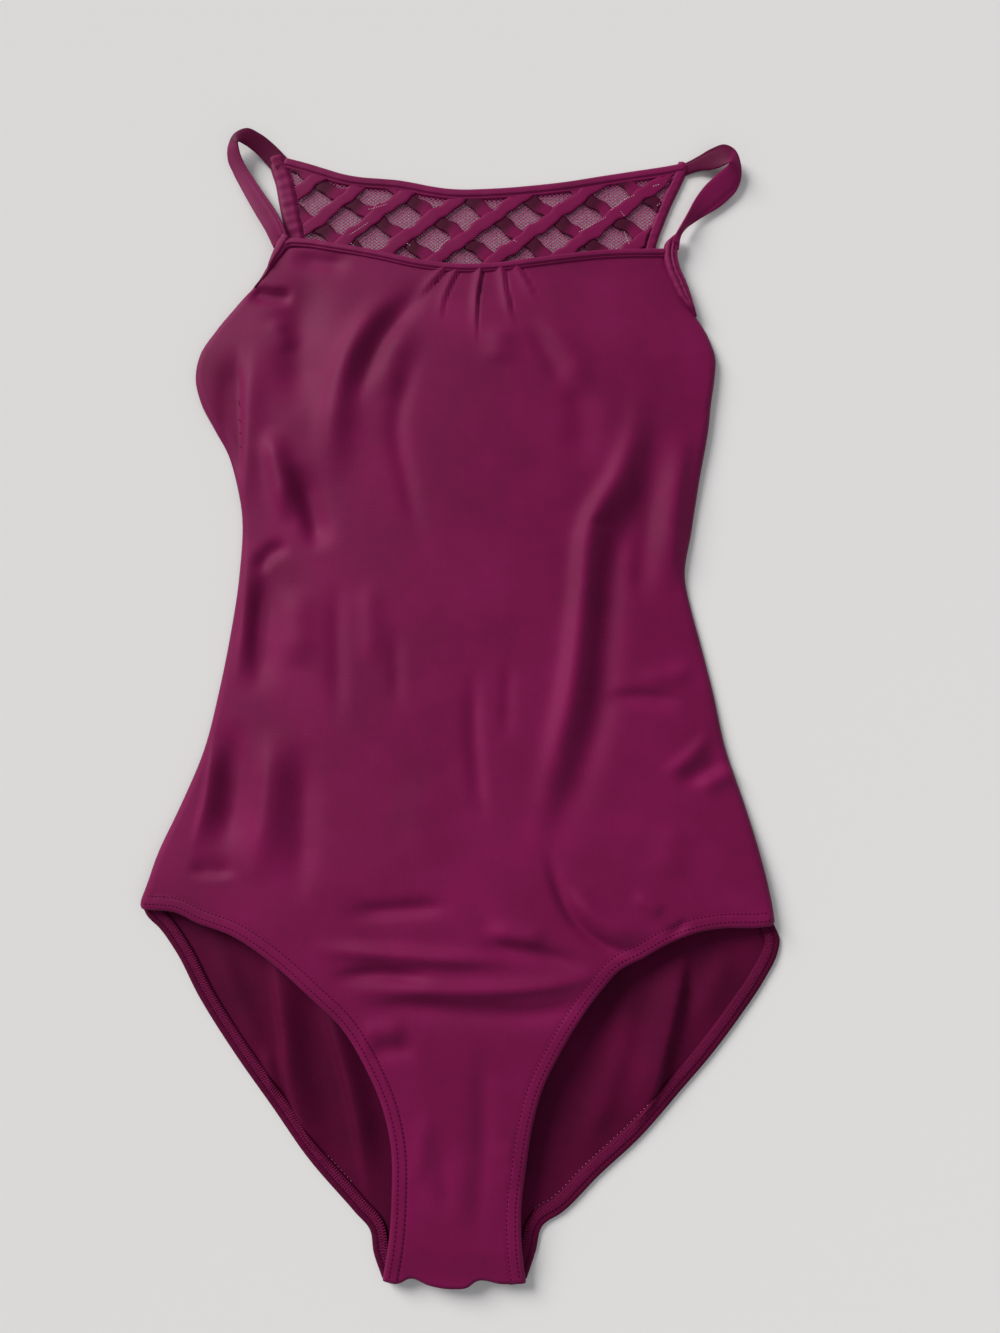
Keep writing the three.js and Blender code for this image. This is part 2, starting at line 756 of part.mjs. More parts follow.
const strapElastic = () => rectangle(STRAP_ELASTIC.width, STRAP_ELASTIC.thickness);

for (const side of SIDES) {
  add(`strap_${side}`, strapGeometry(side, strapTube), TRIM_COLOUR);
  add(`strap_elastic_${side}`, strapGeometry(side, strapElastic), ELASTIC_COLOUR);
}

// Bar tacks: dense stitches that hold each strap end, on the corner of the binding.
const BARTACK_SHARES = { front: 0.06, back: 0.07 };

function bartack(curve, side, share, surface, lift) {
  const geometry = new THREE.BoxGeometry(BARTACK.length, BARTACK.width, BARTACK.thickness);
  const t = side === "left" ? 1 - share : share;
  const p = insetPoint(curve, t, BINDING_WIDTH / 2);
  const heading = curve.getTangentAt(t);
  geometry.rotateZ(Math.atan2(heading.y, heading.x) + Math.PI / 2);
  geometry.translate(p.x, p.y, surface(p.x, p.y) + lift + BARTACK.thickness / 2 + 2 * GAP);
  return geometry;
}

for (const side of SIDES) {
  add(
    `bartack_front_${side}`,
    bartack(frontArmhole(side), side, BARTACK_SHARES.front, frontHeight, FABRIC + GAP + TAPE),
    THREAD_COLOUR,
  );
  add(
    `bartack_back_${side}`,
    bartack(backArmhole(side), side, BARTACK_SHARES.back, floorHeight, BACK_BINDING_TOP),
    THREAD_COLOUR,
  );
}

// The origin is on the floor, under the middle of the whole garment.
const bounds = new THREE.Box3().setFromObject(leotard);
const middle = bounds.getCenter(new THREE.Vector3());
leotard.position.set(-middle.x, -middle.y, -bounds.min.z);

export default leotard;
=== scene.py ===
"""A camisole gymnastics leotard in berry knit, laid flat on its back with its neck away from the viewer.

Lengths below are millimetres. A place on the garment is [across, drop, height]: across runs to the wearer's
left, drop runs down the body from the back neck edge, and height is above the table.
"""
import math

import bpy
import numpy as np
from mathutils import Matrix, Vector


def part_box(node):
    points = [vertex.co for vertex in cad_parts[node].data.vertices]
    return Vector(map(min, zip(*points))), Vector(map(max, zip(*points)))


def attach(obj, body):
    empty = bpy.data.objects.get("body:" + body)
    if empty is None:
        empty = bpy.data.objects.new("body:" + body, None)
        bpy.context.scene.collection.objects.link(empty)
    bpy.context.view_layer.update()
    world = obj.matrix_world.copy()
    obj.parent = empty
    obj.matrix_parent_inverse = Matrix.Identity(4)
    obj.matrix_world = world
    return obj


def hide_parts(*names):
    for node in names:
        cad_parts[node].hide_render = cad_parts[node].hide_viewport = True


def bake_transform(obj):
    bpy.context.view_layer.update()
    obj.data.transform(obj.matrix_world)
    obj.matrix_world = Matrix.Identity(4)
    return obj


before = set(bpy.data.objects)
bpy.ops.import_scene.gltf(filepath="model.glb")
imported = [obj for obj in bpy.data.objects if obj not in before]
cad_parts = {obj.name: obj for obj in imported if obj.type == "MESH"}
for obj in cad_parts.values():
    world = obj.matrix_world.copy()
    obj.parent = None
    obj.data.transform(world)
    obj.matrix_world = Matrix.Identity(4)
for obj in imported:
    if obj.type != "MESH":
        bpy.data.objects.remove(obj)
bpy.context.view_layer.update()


# ---- Table, light and camera ----
# The garment lies on a plain pale table in soft window light from its upper left, with a little light from
# the room. The camera hangs over the waist and leans a little towards the neck.
MM = 0.001
TABLE_COLOUR = (0.75, 0.74, 0.73, 1)
TABLE_SIZE = 4.0
CAMERA_PLACE = (0.021, -0.1058, 0.531)
CAMERA_LEAN = math.radians(10.36)
LENS_MM = 27.03
SENSOR_MM = 36


def new_material(name):
    """An empty node material with its Principled shader, and a function that adds nodes to it."""
    material = bpy.data.materials.new(name)
    material.use_nodes = True
    tree = material.node_tree
    shader = tree.nodes["Principled BSDF"]

    def add(kind, **inputs):
        node = tree.nodes.new(kind)
        for socket, value in inputs.items():
            target = node.inputs[socket.replace("_", " ")]
            if isinstance(value, bpy.types.NodeSocket):
                tree.links.new(value, target)
            else:
                target.default_value = value
        return node

    return material, shader, add


def table():
    material, shader, add = new_material("pale_table")
    shader.inputs["Base Color"].default_value = TABLE_COLOUR
    shader.inputs["Roughness"].default_value = 0.9
    shader.inputs["Specular IOR Level"].default_value = 0.1
    bpy.ops.mesh.primitive_plane_add(size=TABLE_SIZE, location=(0, 0, -0.2 * MM))
    top = bpy.context.object
    top.name = "table_top"
    top.data.materials.append(material)


def hang(name, light, place):
    """Puts a lamp at a place, turned to shine at the middle of the table."""
    lamp = bpy.data.objects.new(name, light)
    bpy.context.scene.collection.objects.link(lamp)
    lamp.location = place
    lamp.rotation_euler = (
        math.atan2(math.hypot(place[0], place[1]), place[2]),
        0,
        math.atan2(place[1], place[0]) + math.pi / 2,
    )


def room_light(name, place, width, watts, colour):
    """Light from a square panel close by."""
    light = bpy.data.lights.new(name, "AREA")
    light.shape = "SQUARE"
    light.size = width
    light.energy = watts
    light.color = colour
    hang(name, light, place)


def far_window(name, place, strength, angle, colour):
    """Light from a window so far off that it is even over the whole table, yet wide enough to be soft."""
    light = bpy.data.lights.new(name, "SUN")
    light.energy = strength
    light.angle = angle
    light.color = colour
    hang(name, light, place)


def sky(colour, strength):
    world = bpy.data.worlds.new("soft_sky")
    world.use_nodes = True
    background = world.node_tree.nodes["Background"]
    background.inputs["Color"].default_value = colour
    background.inputs["Strength"].default_value = strength
    bpy.context.scene.world = world


def overhead_camera():
    lens = bpy.data.cameras.new("camera")
    lens.lens = LENS_MM
    lens.sensor_width = SENSOR_MM
    camera = bpy.data.objects.new("camera", lens)
    camera.location = CAMERA_PLACE
    camera.rotation_euler = (CAMERA_LEAN, 0, 0)
    bpy.context.scene.collection.objects.link(camera)
    bpy.context.scene.camera = camera


table()
far_window("window", (-2.1, 1.9, 1.6), 3.7, math.radians(30), (1.0, 0.985, 0.97))
room_light("room_fill", (1.2, -1.6, 2.2), 2.0, 8, (0.97, 0.98, 1.0))
sky((0.95, 0.96, 1.0, 1), 0.32)
overhead_camera()
bpy.context.scene.view_settings.view_transform = "Standard"


# ---- Front panel ----
# The front is one cut piece of matt nylon and spandex knit, from the neckline to the crotch. It is pinched
# into five small pleats under the neck binding and lies over the back as a low, loosely folded dome.
BODY_LENGTH = 587.5
NECK_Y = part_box("front_panel")[0].y / MM + BODY_LENGTH
CLOTH = 0.8
FRONT_ROWS = 300
FRONT_COLUMNS = 158

RIGHT_SIDE = [
    (-103, 41), (-112, 50), (-117.5, 60), (-129.5, 75), (-141, 90), (-149.5, 105), (-151.5, 119),
    (-147.5, 135), (-139.5, 150), (-131, 165), (-126, 180), (-122, 197), (-121.5, 235), (-125, 270),
    (-129.5, 300), (-135.5, 330), (-146.5, 360), (-157, 386), (-161, 400), (-163.4, 408.5), (-163.5, 411),
]
LEFT_SIDE = [
    (117, 44), (117.5, 53), (122.5, 61), (125.5, 71), (133, 82), (140, 95), (143.5, 108), (142.5, 120),
    (140, 135), (138, 150), (132, 180), (126.5, 210), (122, 236), (125, 255), (128.5, 270), (135, 300),
    (140.5, 330), (149.5, 360), (156, 385), (159.5, 402), (161.5, 416), (161.5, 419),
]
FRONT_LEG = {
    "right": [
        (-163.5, 411), (-161.5, 412.3), (-158, 412.6), (-144, 414), (-134, 418.5), (-114, 425.5),
        (-96, 436.5), (-74, 454.5), (-57, 470), (-45, 488.5), (-36.5, 507), (-32.5, 523), (-31.5, 548),
        (-32.5, 567), (-35.5, 586),
    ],
    "left": [
        (161.5, 419), (159.5, 420.5), (157, 421), (151, 421.5), (136.5, 421.5), (121.5, 423.5),
        (107, 428.5), (92.5, 436), (80.5, 442), (72, 451), (60, 466.5), (50, 482.5), (42, 498),
        (36.5, 517.5), (33.5, 536), (31.5, 551), (31.5, 570), (33.5, 587),
    ],
}
FRONT_TOP = [(-103, 41), (-80, 42), (-46, 48), (-3, 55), (22, 55.5), (42, 52.5), (80, 46), (117, 44)]
CROTCH_FOLD = [
    (-35.5, 586), (-28, 587), (-22, 584.5), (-13, 587.5), (-1, 589), (5, 588.5), (10, 585.5), (22, 587),
    (33.5, 587),
]
SIDES = {"right": 1, "left": -1}


def line_through(stops, count):
    """Evenly spaced points on a smooth line through the stops: each span is a cubic whose ends lean the way
    their neighbours lie."""
    stops = np.asarray(stops, float)
    reach = np.concatenate([[0], np.cumsum(np.linalg.norm(np.diff(stops, axis=0), axis=1))])
    lean = np.gradient(stops, reach, axis=0)
    fine = np.linspace(0, reach[-1], 24 * len(stops))
    span = np.clip(np.searchsorted(reach, fine, side="right") - 1, 0, len(reach) - 2)
    size = (reach[span + 1] - reach[span])[:, None]
    s = (fine[:, None] - reach[span][:, None]) / size
    points = (
        (1 + 2 * s) * (1 - s) ** 2 * stops[span]
        + s * (1 - s) ** 2 * size * lean[span]
        + s * s * (3 - 2 * s) * stops[span + 1]
        + s * s * (s - 1) * size * lean[span + 1]
    )
    run = np.concatenate([[0], np.cumsum(np.linalg.norm(np.diff(points, axis=0), axis=1))])
    even = np.linspace(0, run[-1], count)
    return np.stack([np.interp(even, run, points[:, k]) for k in range(points.shape[1])], axis=-1)


def ease(value, low, high):
    """0 below low and 1 above high, with a smooth s-shaped rise between them."""
    t = np.clip((np.asarray(value, float) - low) / (high - low), 0, 1)
    return t * t * (3 - 2 * t)


def by_drop(drop, stations):
    """A value that eases from each [drop, value] station to the next, down the body."""
    value = np.full(np.shape(drop), float(stations[0][1]))
    for (low, before), (high, after) in zip(stations, stations[1:]):
        value += (after - before) * ease(drop, low, high)
    return value


def beside(line, across, drop):
    """For each place: how far it lies from a line, on which side (+ on the wearer's left of a line that runs
    down the body), and how far along the line, from 0 to 1."""
    nearest = np.full(np.shape(across), 1e9)
    side = np.zeros(np.shape(across))
    along = np.zeros(np.shape(across))
    count = len(line) - 1
    for k in range(count):
        (x0, d0), (x1, d1) = line[k], line[k + 1]
        dx, dd = x1 - x0, d1 - d0
        t = np.clip(((across - x0) * dx + (drop - d0) * dd) / (dx * dx + dd * dd), 0, 1)
        away = np.hypot(across - x0 - t * dx, drop - d0 - t * dd)
        closer = away < nearest
        nearest = np.where(closer, away, nearest)
        side = np.where(closer, np.sign((across - x0) * dd - (drop - d0) * dx), side)
        along = np.where(closer, (k + t) / count, along)
    return nearest, side, along


# Each fold is a ridge (or, below zero, a valley): its height, how wide it is towards the wearer's right and
# left (for one that runs across: towards the crotch and the neck), and the line that it follows.
FRONT_FOLDS = [
    # The side of the bust tucks in under the front, on the wearer's right.
    (-3.6, 10, 2.6, [(-128, 98), (-127, 130), (-125, 158), (-123, 190)]),
    (1.6, 2.4, 8, [(-117, 96), (-119, 125), (-119.5, 158), (-119.5, 205)]),
    (-3.6, 5, 3, [(-124, 67), (-110, 70), (-96, 70)]),
    (-3.6, 11, 13, [(-92, 52), (-93, 95), (-90, 150)]),
    (-1.6, 7, 4, [(-100, 46), (-80, 50), (-62, 52)]),
    (1.2, 6, 6, [(-108, 84), (-102, 96), (-96, 106)]),
    # Folds that spread from the pleats.
    (3.6, 8, 9, [(-36, 68), (-52, 90), (-63, 115), (-70, 145), (-71, 190)]),
    (-3.0, 7, 6, [(-15, 62), (-31, 79), (-46, 99), (-57, 124), (-63, 152)]),
    (1.5, 7, 7, [(-26, 92), (-38, 112), (-43, 140)]),
    (-1.2, 5, 5, [(-20, 100), (-31, 128), (-36, 152), (-30, 185), (-20, 226)]),
    (1.2, 8, 8, [(22, 90), (20, 120)]),
    (-1.0, 5, 5, [(36, 92), (48, 112), (58, 132)]),
    (1.2, 6, 7, [(40, 84), (60, 110), (70, 136)]),
    (-1.2, 8, 9, [(62, 118), (66, 150), (64, 180)]),
    # The long slanting folds between the right armhole and the waist.
    (3.4, 6, 7, [(-108, 150), (-101, 176), (-94, 208)]),
    (-3.6, 5, 8, [(-93, 172), (-84, 196), (-77, 226)]),
    (-1.8, 4, 4, [(-92, 219), (-104, 223), (-112, 236)]),
    (1.8, 3, 6, [(-117, 212), (-116.5, 250), (-119, 300)]),
    (-2.6, 6, 8, [(-104, 228), (-107, 262), (-107, 306)]),
    (1.4, 9, 9, [(-88, 240), (-86, 290)]),
    # The right hip.
    (2.4, 1.6, 7, [(-130.5, 322), (-131.5, 352), (-137, 384)]),
    (-2.8, 8, 7, [(-119, 312), (-118, 350), (-121, 390)]),
    (2.8, 6, 9, [(-98, 316), (-99, 352), (-103, 402)]),
    (-2.2, 8, 6, [(-82, 322), (-80, 368), (-80, 414)]),
    (-1.6, 2, 7, [(-140, 392), (-126, 394), (-112, 393)]),
    # Soft upright folds in the middle.
    (-1.1, 5, 4, [(-67, 235), (-65, 285), (-63, 322)]),
    (0.9, 5, 6, [(-50, 238), (-46, 290)]),
    (-0.8, 4, 4, [(-35, 262), (-33, 312)]),
    (-1.2, 5, 4, [(7, 282), (8, 330), (13, 374)]),
    (-0.7, 4, 4, [(26, 280), (24, 330)]),
    (0.8, 12, 12, [(-20, 340), (-16, 395)]),
    # The long fold from the left bust to the crotch.
    (3.6, 6, 8, [(100, 112), (96, 150), (86, 180), (71, 207), (65, 250), (58, 300), (47, 345), (37, 390)]),
    (-3.0, 7, 9, [(110, 130), (102, 186), (85, 216), (77, 258), (72, 308), (60, 350), (48, 380), (47, 402)]),
    (-1.4, 3, 3, [(70, 212), (80, 206), (88, 196)]),
    (2.4, 8, 6, [(124, 150), (116, 205), (112, 250)]),
    (-1.8, 6, 7, [(105, 182), (99, 222), (96, 256)]),
    # The left hip.
    (-1.5, 6, 3, [(73, 305), (94, 302), (120, 305)]),
    (1.0, 5, 5, [(92, 290), (110, 292), (128, 284)]),
    (1.4, 4, 3, [(104, 346), (118, 336), (134, 320)]),
    (1.5, 5, 3, [(122, 352), (136, 345), (147, 340)]),
    (-1.2, 4, 4, [(112, 350), (126, 342), (140, 334)]),
    (1.0, 8, 8, [(110, 366), (106, 400)]),
    # Drag lines across the belly, between the leg openings.
    (-1.8, 4, 4, [(-60, 414), (-30, 412), (0, 410)]),
    (2.2, 4, 4, [(-78, 431), (-45, 433), (0, 436), (34, 437)]),
    (-1.9, 4, 3, [(-66, 446), (-44, 443), (-10, 445)]),
    (2.2, 3.5, 4.5, [(-58, 452), (-20, 451), (20, 451), (52, 448), (79, 440)]),
    (-1.9, 6, 4, [(-56, 463), (-30, 459), (10, 461), (50, 460), (74, 449)]),
    (1.0, 5, 5, [(-50, 471), (-24, 470)]),
    (-1.1, 4, 5, [(-46, 481), (-18, 478)]),
    (-2.2, 3, 3, [(45, 376), (51, 403), (61, 420), (80, 432), (98, 431)]),
    (2.2, 6, 5, [(55, 398), (68, 414), (84, 423), (98, 425)]),
    (1.5, 5, 5, [(12, 420), (34, 426), (47, 426)]),
    (-1.8, 4, 4, [(6, 429), (38, 433), (66, 441)]),
    (-1.0, 2.5, 2.5, [(104, 424), (112, 421), (116, 416)]),
    (1.0, 4, 4, [(88, 404), (104, 415)]),
    # The strip between the legs.
    (-1.0, 6, 5, [(12, 470), (13, 520), (9, 575)]),
    (0.8, 7, 5, [(22, 520), (30, 545)]),
    (0.8, 5, 5, [(-14, 505), (-20, 545)]),
    (-0.7, 5, 5, [(-8, 520), (-4, 560)]),
]

# Each pleat is a pinch under the neck binding: its height, and the line it follows.
PLEATS = [
    (1.6, [(-9, 56), (-19, 68), (-28, 79)]),
    (1.2, [(-2.5, 57), (-9, 72), (-13, 94)]),
    (1.7, [(11, 56), (8.5, 73), (8, 107)]),
    (1.7, [(22.5, 56), (26, 78), (30, 98)]),
    (1.3, [(31.5, 55), (38, 68), (44, 81)]),
]
PLEAT_STEEP = 0.7
PLEAT_SOFT = 3.4

EDGE_LIFT = [(114, 4.1), (238, 3.1), (344.8, 3.1), (404, 5.4), (570, 5.4), (588, 3.1)]
CROWN = [(52, 6), (114, 10), (238, 8), (416, 9), (588, 3)]
HALF_SPAN = [(39, 121), (114, 146.5), (238, 122), (416, 163), (588, 47.6)]
FOLD_RISE = 1.5
FOLD_FADE = 0.36


def fold_height(across, drop, folds):
    """The sum of all folds: each is a bell curve of the distance from its line, with its own width on each
    side, that dies away towards both ends of the line."""
    total = np.zeros(np.shape(across))
    for height, low_width, high_width, stops in folds:
        away, side, along = beside(line_through(stops, 4 * len(stops)), across, drop)
        width = np.where(side < 0, low_width, high_width)
        from_end = 0.5 - np.abs(along - 0.5)
        total += FOLD_RISE * height * np.exp(-((away / width) ** 2)) * ease(from_end, 0, FOLD_FADE)
    return total


def pleat_height(across, drop):
    """A pleat swells softly towards its line, then steps down behind it into a narrow crease."""
    total = np.zeros(np.shape(across))
    for height, stops in PLEATS:
        away, side, along = beside(line_through(stops, 12), across, drop)
        width = np.where(side < 0, PLEAT_SOFT, PLEAT_STEEP)
        crease = np.exp(-(((away * side - PLEAT_STEEP) / PLEAT_STEEP) ** 2))
        total += height * (np.exp(-((away / width) ** 2)) - 0.8 * crease) * (1 - ease(along, 0.35, 1))
    return total


def under_front(across, drop):
    """The underside of the front without its folds: a low arch from side edge to side edge."""
    out = across / by_drop(drop, HALF_SPAN)
    return by_drop(drop, EDGE_LIFT) + by_drop(drop, CROWN) * np.maximum(0, 1 - out * out)


SIDE_LINES = {"right": line_through(RIGHT_SIDE, 90), "left": line_through(LEFT_SIDE, 90)}
LEG_LINES = {side: line_through(FRONT_LEG[side], 60) for side in SIDES}
SIDE_ROLL = 4.5
SIDE_DEPTH = [(50, 1.2), (100, 3.0), (404, 3.2), (416, 4.0)]
LEG_ROLL = 2.2
LEG_DEPTH = 1.6


def rolled(away, radius):
    """How far a cloth's surface has turned down at a distance from its edge: a quarter circle, 0 to 1."""
    inside = np.clip((radius - away) / radius, 0, 1)
    return 1 - np.sqrt(1 - inside**2)


HEM_RIDGE = 0.25
HEM_GROOVE = 0.18
HEM_LINE = 7.4
EDGE_LOW = 1.5
VALLEY_LOW = 3.2
LIMIT_SOFTNESS = 0.6


def front_top(across, drop):
    """The outer face of the front: the arch, the folds and pleats, turned down along its edges. The turned
    hem stands up a little inside the leg edges, behind a stitched groove. A smooth lower limit keeps the
    valleys clear of the back."""
    height = under_front(across, drop) + CLOTH
    height += fold_height(across, drop, FRONT_FOLDS) + pleat_height(across, drop)
    side_depth = by_drop(drop, SIDE_DEPTH)
    for side in SIDES:
        height -= side_depth * rolled(beside(SIDE_LINES[side], across, drop)[0], SIDE_ROLL)
        from_leg = beside(LEG_LINES[side], across, drop)[0]
        height -= LEG_DEPTH * rolled(from_leg, LEG_ROLL)
        height += HEM_RIDGE * (1 - ease(from_leg, HEM_LINE - 1.2, HEM_LINE))
        height -= HEM_GROOVE * np.exp(-(((from_leg - HEM_LINE) / 0.7) ** 2))
    from_side = np.minimum(*(beside(SIDE_LINES[side], across, drop)[0] for side in SIDES))
    lowest = EDGE_LOW + (VALLEY_LOW - EDGE_LOW) * ease(from_side, 0, SIDE_ROLL + 2)
    above = height - lowest
    return lowest + (above + np.sqrt(above**2 + LIMIT_SOFTNESS)) / 2


def quads(rows, columns, closed=False):
    """The quads of a grid of points, row by row. A closed grid joins its last column to its first."""
    index = np.arange(rows * columns).reshape(rows, columns)
    if closed:
        index = np.concatenate([index, index[:, :1]], axis=1)
    a, b, c, d = index[:-1, :-1], index[1:, :-1], index[1:, 1:], index[:-1, 1:]
    return np.stack([a, b, c, d], axis=-1).reshape(-1, 4)


def new_piece(name, points, faces, material, flat=None, ends=()):
    """A smooth mesh from points in millimetres and quads; flat holds each point's place on the unrolled
    cloth, for the weave, and ends the point loops that close an open tube."""
    points = np.asarray(points, float).reshape(-1, 3)
    place = np.stack([points[:, 0], NECK_Y - points[:, 1], points[:, 2]], axis=-1) * MM
    corners = np.asarray(faces).reshape(-1, 4)
    if len(ends):
        a, b, c, d = (place[corners[:, k]] for k in range(4))
        volume = np.einsum("ij,ij->i", np.cross(a, b), c) + np.einsum("ij,ij->i", np.cross(a, c), d)
        if volume.sum() < 0:
            corners = corners[:, ::-1]
            ends = [end[::-1] for end in ends]
    mesh = bpy.data.meshes.new(name)
    mesh.from_pydata(place.tolist(), [], corners.tolist() + [list(map(int, end)) for end in ends])
    mesh.polygons.foreach_set("use_smooth", np.ones(len(mesh.polygons), bool))
    if flat is not None:
        loops = np.zeros(len(mesh.loops), int)
        mesh.loops.foreach_get("vertex_index", loops)
        layer = mesh.uv_layers.new(name="flat")
        layer.data.foreach_set("uv", (np.asarray(flat, float).reshape(-1, 2)[loops] * MM).ravel())
    mesh.update()
    made = bpy.data.objects.new(name, mesh)
    made.data.materials.append(material)
    bpy.context.scene.collection.objects.link(made)
    return made


def sew_in(made, slot, *nodes):
    """Ties a finished piece to the garment and hides the solids that it stands for. Its slot is not used."""
    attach(made, "garment")
    if nodes:
        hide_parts(*nodes)
    return made


def thicken(made, thickness):
    """Gives a single sheet its thickness, below the face that was drawn."""
    wall = made.modifiers.new("cloth", "SOLIDIFY")
    wall.thickness = thickness * MM
    wall.offset = -1
    wall.use_even_offset = False


def panel_grid(right, left, top, bottom, rows, columns, crowd=0.5):
    """A sheet between a right and a left edge. Each row bows from edge to edge through the middle line, the
    first row follows the top edge and the last the bottom edge. Columns crowd at the middle and the edges.
    """
    share = np.linspace(0, 1, columns)
    u = (share - crowd * np.sin(4 * np.pi * share) / (4 * np.pi))[None, :, None]
    v = np.linspace(0, 1, rows)[:, None, None]
    right = line_through(right, rows)[:, None, :]
    left = line_through(left, rows)[:, None, :]
    top = line_through(top, 400)
    bottom = line_through(bottom, 400)
    pick = (np.interp(u.ravel(), np.linspace(0, 1, 400), np.arange(400))).round().astype(int)
    middle = (1 - v) * top[200] + v * bottom[200]
    grid = (1 - u) * right + u * left + 4 * u * (1 - u) * (middle - (right + left) / 2)
    grid = grid + (top[pick][None] - grid[:1]) * (1 - ease(v, 0, 0.12))
    return grid + (bottom[pick][None] - grid[-1:]) * ease(v, 0.93, 1)


def dye(red, green, blue):
    """A linear colour from the usual 0 to 255 display values."""
    parts = (red, green, blue)
    return tuple(((c / 255 + 0.055) / 1.055) ** 2.4 if c > 10 else c / 3295 for c in parts) + (1,)


def knit_material(name, light, dark, rough=0.62, sheen=0.05, rib=0.45, bump=0.25):
    """Matt knit: fine upright wales and courses, a faint cloudy change of shade, and a soft sheen."""
    material, shader, add = new_material(name)
    place = add("ShaderNodeTexCoord").outputs["Object"]
    cloud = add("ShaderNodeTexNoise", Vector=place, Scale=26, Detail=3, Roughness=0.55)
    grain = add("ShaderNodeTexNoise", Vector=place, Scale=1500, Detail=2, Roughness=0.7)
    shade = add("ShaderNodeMath")
    shade.operation = "MULTIPLY_ADD"
    material.node_tree.links.new(grain.outputs["Fac"], shade.inputs[0])
    shade.inputs[1].default_value = 0.45
    material.node_tree.links.new(cloud.outputs["Fac"], shade.inputs[2])
    ramp = add("ShaderNodeValToRGB", Fac=shade.outputs[0])
    ramp.color_ramp.elements[0].position = 0.45
    ramp.color_ramp.elements[0].color = dark
    ramp.color_ramp.elements[1].position = 1.0
    ramp.color_ramp.elements[1].color = light
    material.node_tree.links.new(ramp.outputs["Color"], shader.inputs["Base Color"])
    wales = add("ShaderNodeTexWave", Vector=place, Scale=1 / (rib * MM) / 6.28, Distortion=0.6)
    wales.bands_direction = "X"
    wales.inputs["Detail Scale"].default_value = 400
    courses = add("ShaderNodeTexWave", Vector=place, Scale=1 / (rib * MM) / 6.28 * 1.2, Distortion=0.6)
    courses.bands_direction = "Y"
    both = add("ShaderNodeMath")
    both.operation = "MULTIPLY"
    material.node_tree.links.new(wales.outputs["Fac"], both.inputs[0])
    material.node_tree.links.new(courses.outputs["Fac"], both.inputs[1])
    raise_by = add("ShaderNodeBump", Height=both.outputs[0], Strength=bump, Distance=0.12 * MM)
    material.node_tree.links.new(raise_by.outputs["Normal"], shader.inputs["Normal"])
    shader.inputs["Roughness"].default_value = rough
    shader.inputs["Specular IOR Level"].default_value = 0.12
    shader.inputs["Sheen Weight"].default_value = sheen
    shader.inputs["Sheen Roughness"].default_value = 0.45
    shader.inputs["Sheen Tint"].default_value = (1.0, 0.55, 0.8, 1)
    return material


OUTER_KNIT = knit_material("berry_knit", dye(121, 12, 73), dye(100, 7, 58))

front_grid = panel_grid(
    RIGHT_SIDE + FRONT_LEG["right"][1:],
    LEFT_SIDE + FRONT_LEG["left"][1:],
    FRONT_TOP,
    CROTCH_FOLD,
    FRONT_ROWS,
    FRONT_COLUMNS,
)
front_height = front_top(front_grid[..., 0], front_grid[..., 1])
front = new_piece(
    "front_panel_cloth",
    np.dstack([front_grid, front_height]),
    quads(FRONT_ROWS, FRONT_COLUMNS),
    OUTER_KNIT,
    flat=front_grid,
)
thicken(front, CLOTH)
sew_in(front, "knit_shell", "front_panel")


# ---- Front lining ----
# A light power-knit layer lies behind the bust and holds the neckline flat. It is caught in the neck and
# armhole bindings and hangs free at its lower edge.
LINING = 0.5
LINING_ROWS = 90
LINING_COLUMNS = 70
LINING_BOTTOM = 200
# The inner faces: the knit's duller wrong side, darkened further as painted shade where the inside lies
# under the front.
INNER_KNIT_AND_SHADE = knit_material("inner_knit_and_shade", dye(92, 1, 50), dye(68, 0, 37), rough=0.8, sheen=0.0)


def down_to(stops, drop):
    """The part of a side's stops that lies above a drop, ending at that drop."""
    stops = np.array(stops, float)
    kept = stops[stops[:, 1] < drop]
    return [tuple(p) for p in kept] + [(float(np.interp(drop, stops[:, 1], stops[:, 0])), drop)]


def moved_in(stops, distance, inward):
    """Stops moved square to their line, into the cloth."""
    stops = np.asarray(stops, float)
    lean = np.gradient(stops, axis=0)
    lean /= np.linalg.norm(lean, axis=1)[:, None]
    return stops + inward * distance * np.stack([lean[:, 1], -lean[:, 0]], axis=-1)


def under_cloth(across, drop):
    """Just under the front panel's inner face, and clear of the back."""
    return np.maximum(np.minimum(front_top(across, drop) - CLOTH, under_front(across, drop)) - 0.4, 1.7)


lining_right = [tuple(p) for p in moved_in(down_to(RIGHT_SIDE, LINING_BOTTOM), 6.5, 1)]
lining_left = [tuple(p) for p in moved_in(down_to(LEFT_SIDE, LINING_BOTTOM), 6.5, -1)]
lining_grid = panel_grid(
    lining_right,
    lining_left,
    moved_in(FRONT_TOP, 1.5, -1),
    [lining_right[-1], (0, LINING_BOTTOM + 3), lining_left[-1]],
    LINING_ROWS,
    LINING_COLUMNS,
    crowd=0,
)
lining = new_piece(
    "front_lining_cloth",
    np.dstack([lining_grid, under_cloth(lining_grid[..., 0], lining_grid[..., 1])]),
    quads(LINING_ROWS, LINING_COLUMNS),
    INNER_KNIT_AND_SHADE,
    flat=lining_grid,
)
thicken(lining, LINING)
sew_in(lining, "lining", "front_lining")


